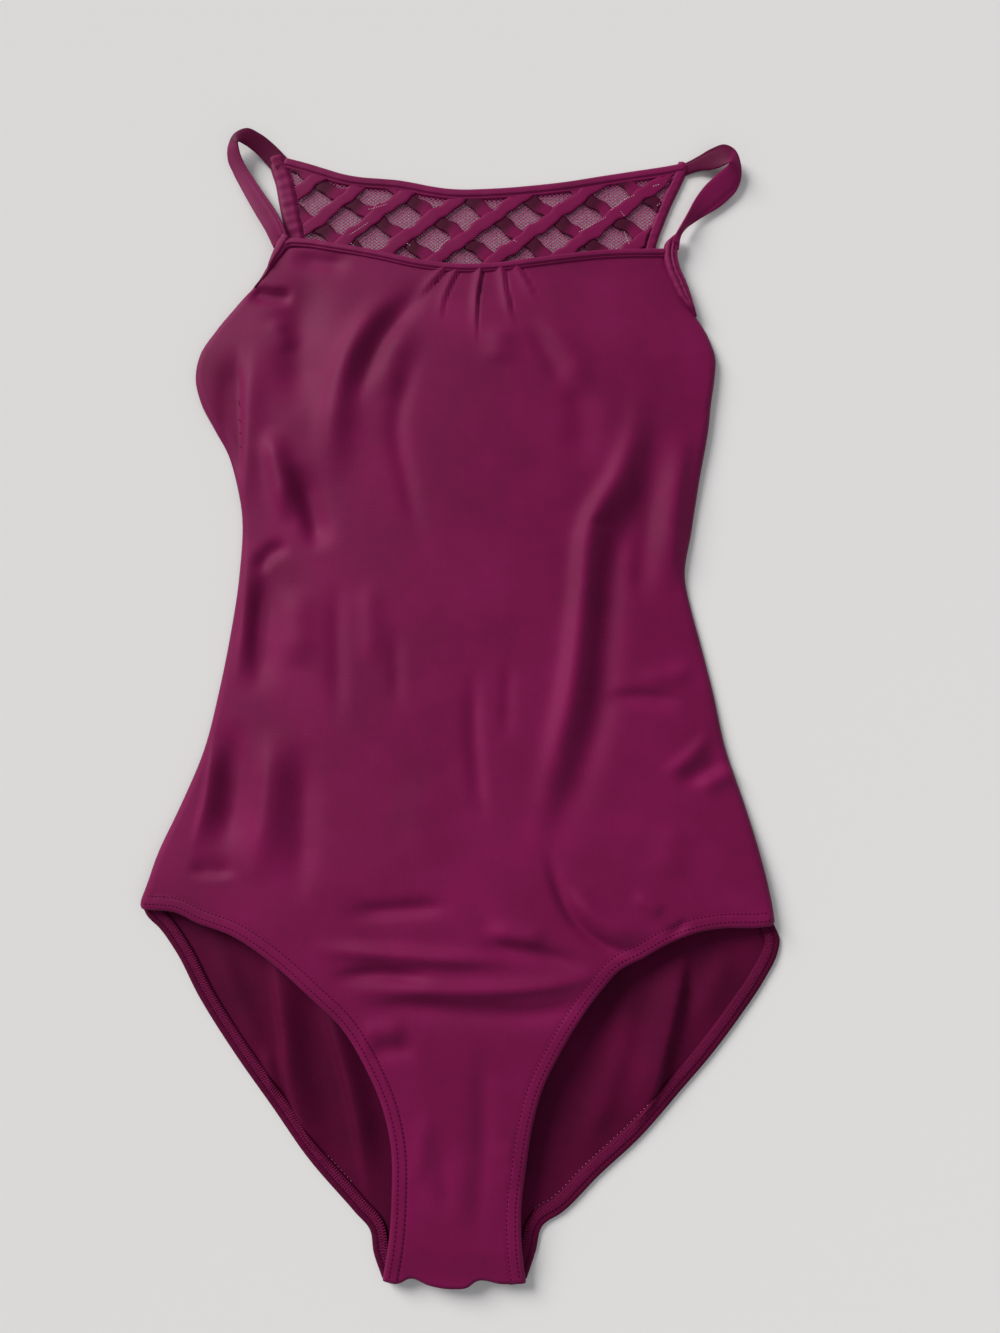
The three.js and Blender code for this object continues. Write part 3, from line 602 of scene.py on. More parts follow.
# ---- Back panel ----
# The back is one piece of the same knit, from the yoke seam to the crotch. Its outer face lies on the table,
# and long folds run down its inner face, which shows through the leg openings.
BACK_ROWS = 230
BACK_COLUMNS = 130
YOKE_SEAM_DROP = 66
BACK_ARMHOLE = {
    "right": [(-97, 66), (-99, 78), (-107, 91), (-125, 104), (-149, 116)],
    "left": [(107, 66), (107.5, 78), (111, 91), (123, 103), (141, 116)],
}
BACK_LEG = {
    "right": [
        (-163.5, 411), (-161, 415.5), (-154, 422), (-145, 433.5), (-132, 455.5), (-112.5, 483),
        (-92, 509), (-74.5, 531.5), (-50, 557), (-42.5, 565), (-40.5, 575), (-36, 586.5),
    ],
    "left": [
        (161.5, 419), (164.5, 428), (163, 434.5), (156, 447), (143.5, 464), (127, 484), (112, 500),
        (90, 523), (70, 540), (51.5, 557), (41.5, 563.5), (38.5, 574), (34, 586.5),
    ],
}
BACK_FOLDS = [
    (4.8, 1.8, 10, [(-97, 420), (-93, 446), (-88, 470), (-84, 497), (-76, 516), (-62, 540)]),
    (4.0, 2.2, 8, [(-74, 440), (-65, 466), (-54, 500), (-46, 535), (-42, 556)]),
    (1.6, 5, 6, [(-128, 420), (-117, 446), (-103, 474), (-97, 492)]),
    (1.4, 2, 4, [(-98, 478), (-93, 496), (-88, 504)]),
    (4.2, 14, 2.0, [(118, 424), (112, 451), (104, 480), (97, 502), (84, 522)]),
    (1.6, 8, 7, [(88, 434), (84, 470), (66, 520), (56, 540)]),
    (1.4, 6, 8, [(140, 430), (128, 452), (116, 476)]),
]


def back_top(across, drop):
    """The inner face of the back: it lies on the table, rises a little above the bust, under the armhole
    bindings, and is folded lengthwise between the leg openings."""
    height = CLOTH + 0.9 * (1 - ease(drop, 124, 150))
    return height + fold_height(across, drop, BACK_FOLDS) * ease(drop, 400, 440)


back_right = BACK_ARMHOLE["right"] + RIGHT_SIDE[7:] + BACK_LEG["right"][1:]
back_left = BACK_ARMHOLE["left"] + LEFT_SIDE[8:] + BACK_LEG["left"][1:]
back_grid = panel_grid(
    [tuple(p) for p in moved_in(back_right, 0.5, 1)],
    [tuple(p) for p in moved_in(back_left, 0.5, -1)],
    [(-97, YOKE_SEAM_DROP), (5, YOKE_SEAM_DROP), (107, YOKE_SEAM_DROP)],
    CROTCH_FOLD,
    BACK_ROWS,
    BACK_COLUMNS,
    crowd=0,
)
back = new_piece(
    "back_panel_cloth",
    np.dstack([back_grid, back_top(back_grid[..., 0], back_grid[..., 1])]),
    quads(BACK_ROWS, BACK_COLUMNS),
    INNER_KNIT_AND_SHADE,
    flat=back_grid,
)
thicken(back, CLOTH)
sew_in(back, "knit_shell", "back_panel")


# ---- Neck, armhole and yoke bindings ----
# Each raw edge is wrapped in a folded tape of the same knit, stretched on over a thin elastic. The tape
# rounds up over the edge, and its stitching sinks in as a groove near its inner edge.
BINDING_KNIT = knit_material("binding_knit", dye(124, 16, 76), dye(103, 9, 60), rough=0.58, sheen=0.06)
RUBBER = knit_material("elastic_rubber", dye(226, 214, 216), dye(200, 186, 190), rough=0.8, sheen=0.05)


def tape_section(bottom, top, grooves=(), depth=0.5, points=19):
    """A folded tape seen end on, for a width of 1: flat below, rounded above, with a narrow groove at each
    share of its width."""
    share = np.linspace(0, 1, points)
    up = bottom + (top - bottom) * (1 - np.abs(2 * share - 1) ** 3.5) ** 0.5
    for groove in grooves:
        up = up - depth * np.exp(-(((share - groove) / 0.07) ** 2))
    over = np.stack([share, np.maximum(up, bottom)], axis=-1)
    under = np.stack([np.linspace(1, 0, 5)[1:-1], np.full(3, bottom)], axis=-1)
    return np.concatenate([over, under])


def carried(line, inward, section, width, height, pucker=0.0, pitch=5.0):
    """A closed section carried along an edge. It reaches into the cloth by its width, which may change along
    the line, and stands on a surface; it thins out where it is narrow, and puckers raise and lower it in
    uneven waves."""
    lean = np.gradient(line, axis=0)
    lean /= np.linalg.norm(lean, axis=1)[:, None]
    into = inward * np.stack([lean[:, 1], -lean[:, 0]], axis=-1)
    run = np.concatenate([[0], np.cumsum(np.linalg.norm(np.diff(line, axis=0), axis=1))])
    wide = np.interp(np.linspace(0, 1, len(line)), np.linspace(0, 1, len(np.atleast_1d(width))),
                     np.atleast_1d(width).astype(float))
    plan = line[:, None] + into[:, None] * (wide[:, None] * section[None, :, 0])[..., None]
    wave = np.sin(2 * np.pi * run / pitch) + 0.7 * np.sin(2 * np.pi * run / (1.62 * pitch) + 1)
    slim = np.minimum(1, 2 * wide / wide.max())[:, None]
    up = section[None, :, 1] * slim + pucker * wave[:, None] * np.sin(np.pi * section[None, :, 0])
    flat = np.dstack([np.broadcast_to(run[:, None], up.shape), np.broadcast_to(section[:, 0] * 8, up.shape)])
    return np.dstack([plan, height(plan[..., 0], plan[..., 1]) + up]), flat


def tape(name, line, inward, section, width, height, material, slot, nodes=(), **waves):
    """A closed tape along an edge, sewn into the garment."""
    points, flat = carried(line, inward, section, width, height, **waves)
    rings, around = points.shape[:2]
    ends = [np.arange(around), np.arange(around)[::-1] + (rings - 1) * around]
    made = new_piece(name, points, quads(rings, around, closed=True), material, flat=flat, ends=ends)
    return sew_in(made, slot, *nodes)


def level_at(height):
    """A flat surface at one height above the table."""
    return lambda across, drop: np.full(np.shape(across), float(height))


flat_height = level_at(0)


FRONT_NECK = line_through(
    [
        (-107, 37.5), (-101.5, 34.8), (-92, 35.2), (-75, 38.5), (-49.5, 44.2), (-22, 51), (-2.5, 53.2),
        (20, 52.3), (40, 49.2), (80, 43), (119, 40),
    ],
    180,
)
BACK_NECK = line_through(
    [
        (-105.5, -21.4), (-101, -20.2), (-91, -17.2), (-81, -13.8), (-71, -10.6), (-61, -8.7), (-50, -7.7),
        (-40, -6.8), (-30, -5), (-20, -2.8), (-10, -1.2), (0, -0.6), (10, -0.9), (20, -1.4), (40, -3.2),
        (60, -5.7), (80, -9.2), (100, -12.6), (120, -16), (129.5, -18),
    ],
    180,
)
YOKE_SIDE = {
    "right": [
        (-116.8, -20.6), (-114.6, -13), (-111.5, -3.5), (-109.5, 6.5), (-107, 18), (-103.5, 31), (-99, 53),
        (-99, 74), (-107, 90), (-124, 103), (-143, 112),
    ],
    "left": [
        (133.5, -15.5), (132, -12.5), (128, -3.5), (122, 9.5), (117, 22), (113, 33), (108.5, 54), (107, 72),
        (110, 87), (121, 102), (136, 110),
    ],
}
YOKE_SIDE_WIDTH = {"right": [10.6, 12, 10.5, 9, 8, 8], "left": [7.5, 7, 6.8, 6.5, 7, 8]}
ARMHOLE = {
    "right": [
        (-105.5, 32), (-107.8, 36), (-110, 41.5), (-112.2, 49), (-114, 55.5), (-117.6, 61), (-120.2, 64.4),
    ],
    "left": [
        (125.8, 31), (124.6, 37), (124, 44), (125.5, 53), (128.5, 61), (131, 70), (132.4, 77), (133.6, 82.6),
    ],
}
ARMHOLE_WIDTH = {"right": [8, 8, 6.6, 4.4, 2.4, 1.6, 0.8], "left": [2.5, 8, 9, 9, 9, 9, 8, 5, 1]}
ARMHOLE_GROOVES = {"right": (0.75,), "left": (0.26, 0.52)}

FRONT_NECK_WIDE, BACK_NECK_WIDE = 6.2, 7.9
FRONT_NECK_SECTION = tape_section(-1.1, 2.3, (0.74,), 0.9)
BACK_NECK_SECTION = tape_section(0, 2.9, (0.72,), 0.9)
YOKE_SIDE_SECTION = tape_section(0, 2.6, (0.84,), 0.5)

tape("front_neck_tape", FRONT_NECK, -1, FRONT_NECK_SECTION, FRONT_NECK_WIDE, under_front, BINDING_KNIT,
     "binding_tape", ["front_neck_binding"], pucker=0.04, pitch=9)
tape("back_neck_tape", BACK_NECK, -1, BACK_NECK_SECTION, BACK_NECK_WIDE, flat_height, BINDING_KNIT,
     "binding_tape", ["back_neck_binding"], pucker=0.05, pitch=11)
for side, inward in SIDES.items():
    tape(f"yoke_side_tape_{side}", line_through(YOKE_SIDE[side], 150), inward, YOKE_SIDE_SECTION,
         YOKE_SIDE_WIDTH[side], flat_height, BINDING_KNIT, "binding_tape",
         [f"armhole_binding_back_{side}"], pucker=0.22, pitch=6)
    tape(f"armhole_tape_{side}", line_through(ARMHOLE[side], 70), inward,
         tape_section(-1.5, 2.9, ARMHOLE_GROOVES[side], 1.0), ARMHOLE_WIDTH[side], under_front, BINDING_KNIT,
         "binding_tape", [f"armhole_binding_front_{side}"], pucker=0.06, pitch=4)

# A thin elastic runs inside each binding.
INSIDE_TAPE = tape_section(0, 0.6, points=7)
tape("front_neck_elastic_core", moved_in(FRONT_NECK, 2, -1), -1, INSIDE_TAPE, 2, under_front, RUBBER,
     "elastic", ["front_neck_elastic"])
tape("back_neck_elastic_core", moved_in(BACK_NECK, 2, -1), -1, INSIDE_TAPE + [0, 0.9], 3, flat_height,
     RUBBER, "elastic", ["back_neck_elastic"])
for side, inward in SIDES.items():
    along_side = moved_in(line_through(YOKE_SIDE[side], 80), 2, inward)
    tape(f"yoke_side_elastic_core_{side}", along_side, inward, INSIDE_TAPE + [0, 0.8], 3, flat_height,
         RUBBER, "elastic", [f"armhole_elastic_back_{side}"])
    along_armhole = moved_in(line_through(ARMHOLE[side], 40), 1, inward)[6:-18]
    tape(f"armhole_elastic_core_{side}", along_armhole, inward, INSIDE_TAPE, 1.2, under_front, RUBBER,
         "elastic", [f"armhole_elastic_front_{side}"])


# ---- Yoke net ----
# The yoke is an open net: threads run both ways on the slant and pass over and under each other where they
# cross, and the table shows through. The bindings close it on three sides and the yoke seam below.
NET_PITCH = 1.64
NET_SLANT = math.radians(38.5)
THREAD_WIDE, THREAD_HIGH = 0.39, 0.15
NET_HEIGHT = 1.25
NET_WEAVE = 0.12
NET_TUCK = 0.4
NET_CROSSING = np.array([7, 24])
NET_BOTTOM = YOKE_SEAM_DROP + 2
NECK_COVER = 7.6


def net_material():
    """Dull berry thread with fine, lighter flecks at random."""
    material, shader, add = new_material("net_thread")
    place = add("ShaderNodeTexCoord").outputs["Object"]
    speck = add("ShaderNodeTexNoise", Vector=place, Scale=900, Detail=2)
    ramp = add("ShaderNodeValToRGB", Fac=speck.outputs["Fac"])
    ramp.color_ramp.elements[0].color = dye(138, 40, 90)
    ramp.color_ramp.elements[1].color = dye(166, 66, 118)
    material.node_tree.links.new(ramp.outputs["Color"], shader.inputs["Base Color"])
    shader.inputs["Roughness"].default_value = 0.7
    return material


def yoke_rim(line, inward, width, reach):
    """An edge line moved into the yoke by a share of its tape's width."""
    lean = np.gradient(line, axis=0)
    lean /= np.linalg.norm(lean, axis=1)[:, None]
    wide = np.interp(np.linspace(0, 1, len(line)), np.linspace(0, 1, len(width)), width)
    return line + inward * reach * wide[:, None] * np.stack([lean[:, 1], -lean[:, 0]], axis=-1)


def in_yoke(across, drop, reach):
    """Whether a place lies on the yoke: under the back neck binding, between the side tapes and above the
    yoke seam. The reach is how far the tapes cover it, as a share of their width."""
    right = yoke_rim(line_through(YOKE_SIDE["right"], 150), 1, YOKE_SIDE_WIDTH["right"], reach)
    left = yoke_rim(line_through(YOKE_SIDE["left"], 150), -1, YOKE_SIDE_WIDTH["left"], reach)
    top = np.interp(across, BACK_NECK[:, 0], BACK_NECK[:, 1]) + reach * NECK_COVER
    low = np.interp(drop, right[:, 1], right[:, 0])
    high = np.interp(drop, left[:, 1], left[:, 0])
    return (drop > top) & (drop < NET_BOTTOM) & (across > low) & (across < high)


def net_threads():
    """Parallel threads on both slants. Each is a flat tube with a ring at every crossing, where it passes
    over or under in turn, and it is cut to the part that lies on the yoke."""
    turn = np.linspace(0, 2 * np.pi, 4, endpoint=False) + np.pi / 4
    steps = np.arange(-110, 110)
    reach = NET_PITCH / math.sin(2 * NET_SLANT)
    points, faces, ends, count = [], [], [], 0
    for slant in (-1, 1):
        along = reach * np.array([math.cos(NET_SLANT), slant * math.sin(NET_SLANT)])
        aside = reach * np.array([math.cos(NET_SLANT), -slant * math.sin(NET_SLANT)])
        square = np.array([-along[1], along[0]]) / reach
        for k in steps:
            middle = NET_CROSSING + along * steps[:, None] + aside * k
            inside = np.flatnonzero(in_yoke(middle[:, 0], middle[:, 1], NET_TUCK))
            if len(inside) < 2:
                continue
            kept = steps[inside[0]:inside[-1] + 1]
            middle = middle[inside[0]:inside[-1] + 1]
            lift = NET_HEIGHT + NET_WEAVE * slant * (-1.0) ** (kept + k)
            ring = middle[:, None] + square * (THREAD_WIDE * np.cos(turn))[None, :, None]
            up = lift[:, None] + THREAD_HIGH * np.sin(turn)[None]
            points.append(np.dstack([ring, up]).reshape(-1, 3))
            faces.append(quads(len(kept), 4, closed=True) + count)
            ends += [np.arange(4) + count, np.arange(4)[::-1] + count + 4 * (len(kept) - 1)]
            count += 4 * len(kept)
    return np.concatenate(points), np.concatenate(faces), ends


def yoke_area():
    """The area inside the net's cut outline, in square metres, holes and all, counted on a fine grid."""
    step = 0.25
    across, drop = np.meshgrid(np.arange(-140, 150, step), np.arange(-30, 75, step))
    return float(in_yoke(across, drop, NET_TUCK).sum()) * step * step * MM * MM


net_points, net_faces, net_ends = net_threads()
net = new_piece("yoke_net_threads", net_points, net_faces, net_material(), ends=net_ends)
sew_in(net, "net", "yoke_net")
yoke_area()


# ---- Yoke lattice ----
# Flat bands of opaque knit are worked into the net on both slants and pass over and under each other. A band
# is painted lighter where it lies on top and painted very dark, as shade, where it dips under.
WINDOW_MIDDLE = np.array([17.4, 32.3])
LATTICE_UP = np.array([17.5, -14.2])
LATTICE_DOWN = np.array([17.5, 14.2])
BAND_HALF = 3.9
BAND_HEIGHT = 2.0
BAND_LINES = 9
BAND_RINGS = 160
BAND_CLOTH = 0.45
SAG = 4.5


def lattice_material():
    """Band knit with fine ribs along it: painted light where the band lies on top, painted shade where it
    dips.
    """
    material, shader, add = new_material("band_knit")
    painted_band_shade = add("ShaderNodeAttribute")
    painted_band_shade.attribute_name = "painted_band_shade"
    ramp = add("ShaderNodeValToRGB", Fac=painted_band_shade.outputs["Fac"])
    # The ramp runs from painted shade, very dark, to painted light on the bands.
    ramp.color_ramp.elements[0].position = 0.12
    ramp.color_ramp.elements[0].color = dye(66, 1, 34)
    ramp.color_ramp.elements[1].position = 0.62
    ramp.color_ramp.elements[1].color = dye(116, 10, 68)
    material.node_tree.links.new(ramp.outputs["Color"], shader.inputs["Base Color"])
    unrolled = add("ShaderNodeUVMap")
    unrolled.uv_map = "flat"
    ribs = add("ShaderNodeTexWave", Vector=unrolled.outputs["UV"], Scale=320, Distortion=0.8)
    ribs.bands_direction = "Y"
    raise_by = add("ShaderNodeBump", Height=ribs.outputs["Fac"], Strength=0.3, Distance=0.15 * MM)
    material.node_tree.links.new(raise_by.outputs["Normal"], shader.inputs["Normal"])
    shader.inputs["Roughness"].default_value = 0.62
    shader.inputs["Specular IOR Level"].default_value = 0.12
    return material


def lattice_bands():
    """Every band is a ribbon of parallel lines along one slant, and each of its lines is cut where it leaves
    the yoke. The bands that rise to the wearer's left lie on top, bulge at each crossing and are painted
    lighter there. The others dip under them, come out in painted shade and rise again. The lattice sags a
    little at the wearer's right."""
    spacing = np.linalg.norm(LATTICE_UP)
    steps = np.arange(-7, 7, 0.05)
    side = np.linspace(-1, 1, BAND_LINES)
    points, faces, flat, painted_band_shade, count = [], [], [], [], 0
    for along, across, over in ((LATTICE_UP, LATTICE_DOWN, True), (LATTICE_DOWN, LATTICE_UP, False)):
        square = np.array([-along[1], along[0]]) / spacing

        def place(step, offset, k):
            """Where a line of the band lies on the table."""
            swing = 0.5 * np.sin(2 * np.pi * step + 2.1 * k) + 0.35 * np.sin(4.4 * np.pi * step + k)
            half = BAND_HALF + 0.35 * np.cos(2 * np.pi * step + 1.3 * k)
            plan = WINDOW_MIDDLE + (k + 0.5) * across + step[..., None] * along
            plan = plan + square * (swing + half * offset)[..., None]
            return plan + np.stack([0 * step, SAG * ease(-plan[..., 0], 50, 88)], axis=-1)

        for k in range(-8, 8):
            step, offset = np.meshgrid(steps, side, indexing="ij")
            plan = place(step, offset, k)
            inside = in_yoke(plan[..., 0], plan[..., 1], 0.93)
            if inside.any(0).sum() < 5:
                continue
            first = np.array([steps[column.argmax()] if column.any() else np.nan for column in inside.T])
            last = np.array([steps[len(steps) - 1 - column[::-1].argmax()] if column.any() else np.nan
                             for column in inside.T])
            known = ~np.isnan(first)
            first, last = (np.interp(side, side[known], part[known]) for part in (first, last))
            share = np.linspace(0, 1, BAND_RINGS)[:, None]
            step = first + (last - first) * share
            plan = place(step, np.broadcast_to(side, step.shape), k)
            past_crossing = np.mod(step - 0.5, 1)
            # Painted light and shade: bands on top are painted lighter at each crossing, and bands below are
            # painted dark, as shade, just after each crossing.
            if over:
                lift = BAND_HEIGHT + 0.35 + 0.4 * np.cos(np.pi * past_crossing) ** 2
                shade = 0.72 + 0.28 * np.cos(np.pi * past_crossing) ** 2
            else:
                lift = BAND_HEIGHT + 0.3 * np.sin(np.pi * past_crossing)
                shade = ease(past_crossing, 0.3, 0.8) * 0.75
            lift = lift - 0.3 * side[None] ** 4
            points.append(np.dstack([plan, lift]).reshape(-1, 3))
            faces.append(quads(BAND_RINGS, BAND_LINES) + count)
            sideways = np.broadcast_to(BAND_HALF * side, step.shape)
            flat.append(np.stack([step * spacing, sideways], -1).reshape(-1, 2))
            painted_band_shade.append(np.broadcast_to(shade, step.shape).ravel())
            count += lift.size
    return np.concatenate(points), np.concatenate(faces), np.concatenate(flat), np.concatenate(painted_band_shade)


band_points, band_faces, band_flat, band_painted_shade = lattice_bands()
bands = new_piece("yoke_lattice_bands", band_points, band_faces, lattice_material(), flat=band_flat)
# Each point's painted light and shade, read by the band material.
layer = bands.data.attributes.new("painted_band_shade", "FLOAT", "POINT")
layer.data.foreach_set("value", band_painted_shade.astype(np.float32))
thicken(bands, BAND_CLOTH)
sew_in(bands, "lattice_band", "yoke_lattice")


# ---- Leg hems ----
# Each leg edge is turned in over a flat elastic and held by a cover stitch: two neat rows of small stitches
# on the outer face, and a dense zigzag of looper thread on the inner face, which shows on the back.
HEM = 8.2
FRONT_STITCH_ROWS = (7.0, 3.0)
HEM_SECTION = tape_section(-1.2, -0.1, points=9)
BACK_HEM_SECTION = tape_section(-0.1, 1.5, (0.36, 0.97), 0.35)
BACK_LEG_LINES = {side: line_through(BACK_LEG[side], 240) for side in SIDES}
FRONT_LEG_LINES = {side: line_through(FRONT_LEG[side], 240) for side in SIDES}


def thread_material(name, light, dark):
    """Twisted sewing thread."""
    material, shader, add = new_material(name)
    place = add("ShaderNodeTexCoord").outputs["Object"]
    twist = add("ShaderNodeTexNoise", Vector=place, Scale=1200, Detail=1)
    ramp = add("ShaderNodeValToRGB", Fac=twist.outputs["Fac"])
    ramp.color_ramp.elements[0].color = dark
    ramp.color_ramp.elements[1].color = light
    material.node_tree.links.new(ramp.outputs["Color"], shader.inputs["Base Color"])
    shader.inputs["Roughness"].default_value = 0.8
    shader.inputs["Specular IOR Level"].default_value = 0.08
    return material


DARK_THREAD = thread_material("dark_thread", dye(80, 4, 44), dye(50, 1, 24))
LOOPER_THREAD = thread_material("looper_thread", dye(134, 34, 84), dye(98, 12, 56))
PALE_THREAD = thread_material("pale_thread", dye(236, 208, 214), dye(196, 150, 162))
FADED_THREAD = thread_material("faded_thread", dye(190, 130, 156), dye(150, 84, 116))


def stitches(name, line, pitch, length, width, height, material, lift=0.12):
    """A row of short stitches along a line: each is a small spindle of three square rings, laid on the
    surface."""
    run = np.concatenate([[0], np.cumsum(np.linalg.norm(np.diff(line, axis=0), axis=1))])
    middle = np.arange(pitch, run[-1] - pitch, pitch)
    along = np.array([-0.5, -0.25, 0.25, 0.5]) * length
    thick = np.array([0.35, 1, 1, 0.35]) * width / 2
    turn = np.linspace(0, 2 * np.pi, 5, endpoint=False)
    where = middle[:, None] + along[None]
    plan = np.stack([np.interp(where, run, line[:, k]) for k in range(2)], axis=-1)
    lean = plan[:, -1] - plan[:, 0]
    lean /= np.linalg.norm(lean, axis=1)[:, None]
    square = np.stack([-lean[:, 1], lean[:, 0]], axis=-1)
    ring = plan[:, :, None] + square[:, None, None] * (thick[:, None] * np.cos(turn))[None, ..., None]
    up = height(plan[..., 0], plan[..., 1])[..., None] + lift + (thick[:, None] * np.sin(turn))[None]
    points = np.concatenate([ring, up[..., None]], axis=-1)
    one = quads(4, 5, closed=True)
    faces = (one[None] + (np.arange(len(middle)) * 20)[:, None, None]).reshape(-1, 4)
    first = np.arange(5)[None] + (np.arange(len(middle)) * 20)[:, None]
    ends = [*first, *(first[:, ::-1] + 15)]
    return sew_in(new_piece(name, points, faces, material, ends=ends), "thread")


def zigzag(name, line, pitch, reach, radius, height, material, nodes=(), lift=0.1):
    """One thread that swings from side to side of a line as it runs along it, and lies on the surface."""
    run = np.concatenate([[0], np.cumsum(np.linalg.norm(np.diff(line, axis=0), axis=1))])
    count = int(run[-1] / pitch) * 8
    where = np.linspace(0, run[-1], count)
    plan = np.stack([np.interp(where, run, line[:, k]) for k in range(2)], axis=-1)
    lean = np.gradient(plan, axis=0)
    lean /= np.linalg.norm(lean, axis=1)[:, None] + 1e-9
    square = np.stack([-lean[:, 1], lean[:, 0]], axis=-1)
    swing = np.clip(1.5 * np.sin(2 * np.pi * where / pitch), -1, 1)
    sway = 0.35 * pitch * np.sin(4 * np.pi * where / pitch)
    plan = plan + square * (reach * swing)[:, None] + lean * sway[:, None]
    course = np.column_stack([plan, height(plan[:, 0], plan[:, 1]) + lift])
    ahead = np.gradient(course, axis=0)
    ahead /= np.linalg.norm(ahead, axis=1)[:, None] + 1e-9
    level = np.cross(ahead, [0, 0, 1.0])
    level /= np.linalg.norm(level, axis=1)[:, None] + 1e-9
    raised = np.cross(level, ahead)
    turn = np.linspace(0, 2 * np.pi, 5, endpoint=False)
    points = course[:, None] + radius * (
        level[:, None] * np.cos(turn)[None, :, None] + raised[:, None] * np.sin(turn)[None, :, None]
    )
    ends = [np.arange(5), np.arange(5)[::-1] + 5 * (count - 1)]
    made = new_piece(name, points, quads(count, 5, closed=True), material, ends=ends)
    return sew_in(made, "thread", *nodes)


def under_hem(across, drop):
    """The inner face of the front along its leg edges."""
    return np.minimum(front_top(across, drop) - CLOTH, under_front(across, drop))


def on_back_hem(across, drop):
    """The top of the back leg hem."""
    return back_top(across, drop) + 1.35


for side, inward in SIDES.items():
    tape(f"leg_hem_fold_front_{side}", FRONT_LEG_LINES[side], inward, HEM_SECTION, HEM, under_hem,
         INNER_KNIT_AND_SHADE, "knit_shell", [f"leg_hem_front_{side}"])
    tape(f"leg_elastic_core_front_{side}", moved_in(FRONT_LEG_LINES[side], 1.5, inward)[9:-3], inward,
         INSIDE_TAPE + [0, -1.0], 5.5, under_hem, RUBBER, "elastic", [f"leg_elastic_front_{side}"])
    for row, inset in enumerate(FRONT_STITCH_ROWS):
        stitches(f"front_hem_stitches_{side}_{row + 1}", moved_in(FRONT_LEG_LINES[side], inset, inward), 2.1,
                 1.25, 0.42, front_top, DARK_THREAD)
    tape(f"leg_hem_fold_back_{side}", BACK_LEG_LINES[side], inward, BACK_HEM_SECTION, HEM, back_top,
         INNER_KNIT_AND_SHADE, "knit_shell", [f"leg_hem_back_{side}"], pucker=0.07, pitch=4)
    tape(f"leg_elastic_core_back_{side}", moved_in(BACK_LEG_LINES[side], 1.5, inward)[9:-3], inward,
         INSIDE_TAPE + [0, 0.25], 5.5, back_top, RUBBER, "elastic", [f"leg_elastic_back_{side}"])
    zigzag(f"back_hem_looper_{side}", moved_in(BACK_LEG_LINES[side], 5.6, inward)[4:-4], 1.25, 1.9, 0.17,
           on_back_hem, LOOPER_THREAD)
    stitches(f"back_hem_edge_stitches_{side}", moved_in(BACK_LEG_LINES[side], 3.0, inward), 1.9, 1.3, 0.3,
             on_back_hem, DARK_THREAD)


# ---- Float threads ----
# Pale threads of the jacquard float over the lattice here and there, as short dashes along a band's edge.
FLOATS = [
    [(-71, 33), (-62, 27), (-52, 19)], [(-70, 32), (-64, 37), (-60, 40.5)],
    [(-57, 14), (-50, 12), (-44, 10)], [(-35, 34), (-30, 38)], [(-39, 6), (-35, 7)],
    [(-17, 42), (-12, 36), (-7, 30)], [(28, 33), (33, 36)], [(35, 29), (39, 31)],
    [(66, 29), (76, 23), (86, 17)], [(85, 15), (93, 8), (103, 3)], [(91, 14), (95, 20)],
    [(93, 27), (95, 33), (97, 38)], [(110, -1), (116, -3)], [(112, 12), (116, 9)],
    [(-99, -10), (-97, -5)],
]


for k, float_stops in enumerate(FLOATS):
    stitches(f"float_threads_{k + 1}", line_through(float_stops, 40), 1.5, 0.9, 0.38,
             level_at(BAND_HEIGHT + 0.85), PALE_THREAD, lift=0.05)
for side, (first, last) in {"right": (529, 546), "left": (505, 558)}.items():
    inner_rim = moved_in(BACK_LEG_LINES[side], HEM + 0.2, SIDES[side])
    shown = inner_rim[(inner_rim[:, 1] > first) & (inner_rim[:, 1] < last)]
    stitches(f"hem_float_threads_{side}", shown, 2.3, 0.8, 0.24, back_top, FADED_THREAD, lift=0.3)
SIDE_STITCHES = yoke_rim(line_through(YOKE_SIDE["right"], 150), 1, YOKE_SIDE_WIDTH["right"], 0.84)[6:70]
stitches("yoke_side_stitches", SIDE_STITCHES, 1.7, 1.0, 0.4, level_at(2.15), DARK_THREAD)


# ---- Seams and gusset ----
# The front and back are joined at the sides and the crotch by overlocked seams, and the net to the back
# panel by the yoke seam. All lie inside. A soft strip lines the crotch and is folded round it.
OVERLOCK_SECTION = tape_section(0, 1.4, (0.2, 0.5, 0.8), 0.25)
SEAM_INSET = 1.6
SEAM_WIDE = 5


def on_back(across, drop):
    """Just above the back's inner face."""
    return back_top(across, drop) + 0.15


for side, inward in SIDES.items():
    edge = line_through({"right": RIGHT_SIDE[7:], "left": LEFT_SIDE[8:]}[side], 160)
    sewn_edge = moved_in(edge, SEAM_INSET, inward)[2:-8]
    tape(f"side_seam_allowance_{side}", sewn_edge, inward, OVERLOCK_SECTION, SEAM_WIDE, on_back, INNER_KNIT_AND_SHADE,
         "thread", [f"side_seam_{side}"], pucker=0.1, pitch=3)
crotch_edge = line_through([(-29, 586), (0, 587), (28, 586)], 40)
tape("crotch_seam_allowance", moved_in(crotch_edge, SEAM_INSET, 1), 1, OVERLOCK_SECTION, SEAM_WIDE, on_back,
     INNER_KNIT_AND_SHADE, "thread", ["crotch_seam"], pucker=0.1, pitch=3)
yoke_edge = line_through([(-84, YOKE_SEAM_DROP - 3), (5, YOKE_SEAM_DROP - 3), (94, YOKE_SEAM_DROP - 3)], 60)
tape("yoke_seam_allowance", yoke_edge, -1, OVERLOCK_SECTION * [1, 0.6], 6, on_back, INNER_KNIT_AND_SHADE, "thread",
     ["yoke_seam"], pucker=0.1, pitch=3)

GUSSET_MIDDLE, GUSSET_HALF = -1, 23.5
GUSSET_TOP = 499
GUSSET_FOLD = 579
GUSSET_LOW = 1.5
GUSSET_BEND = 1.55


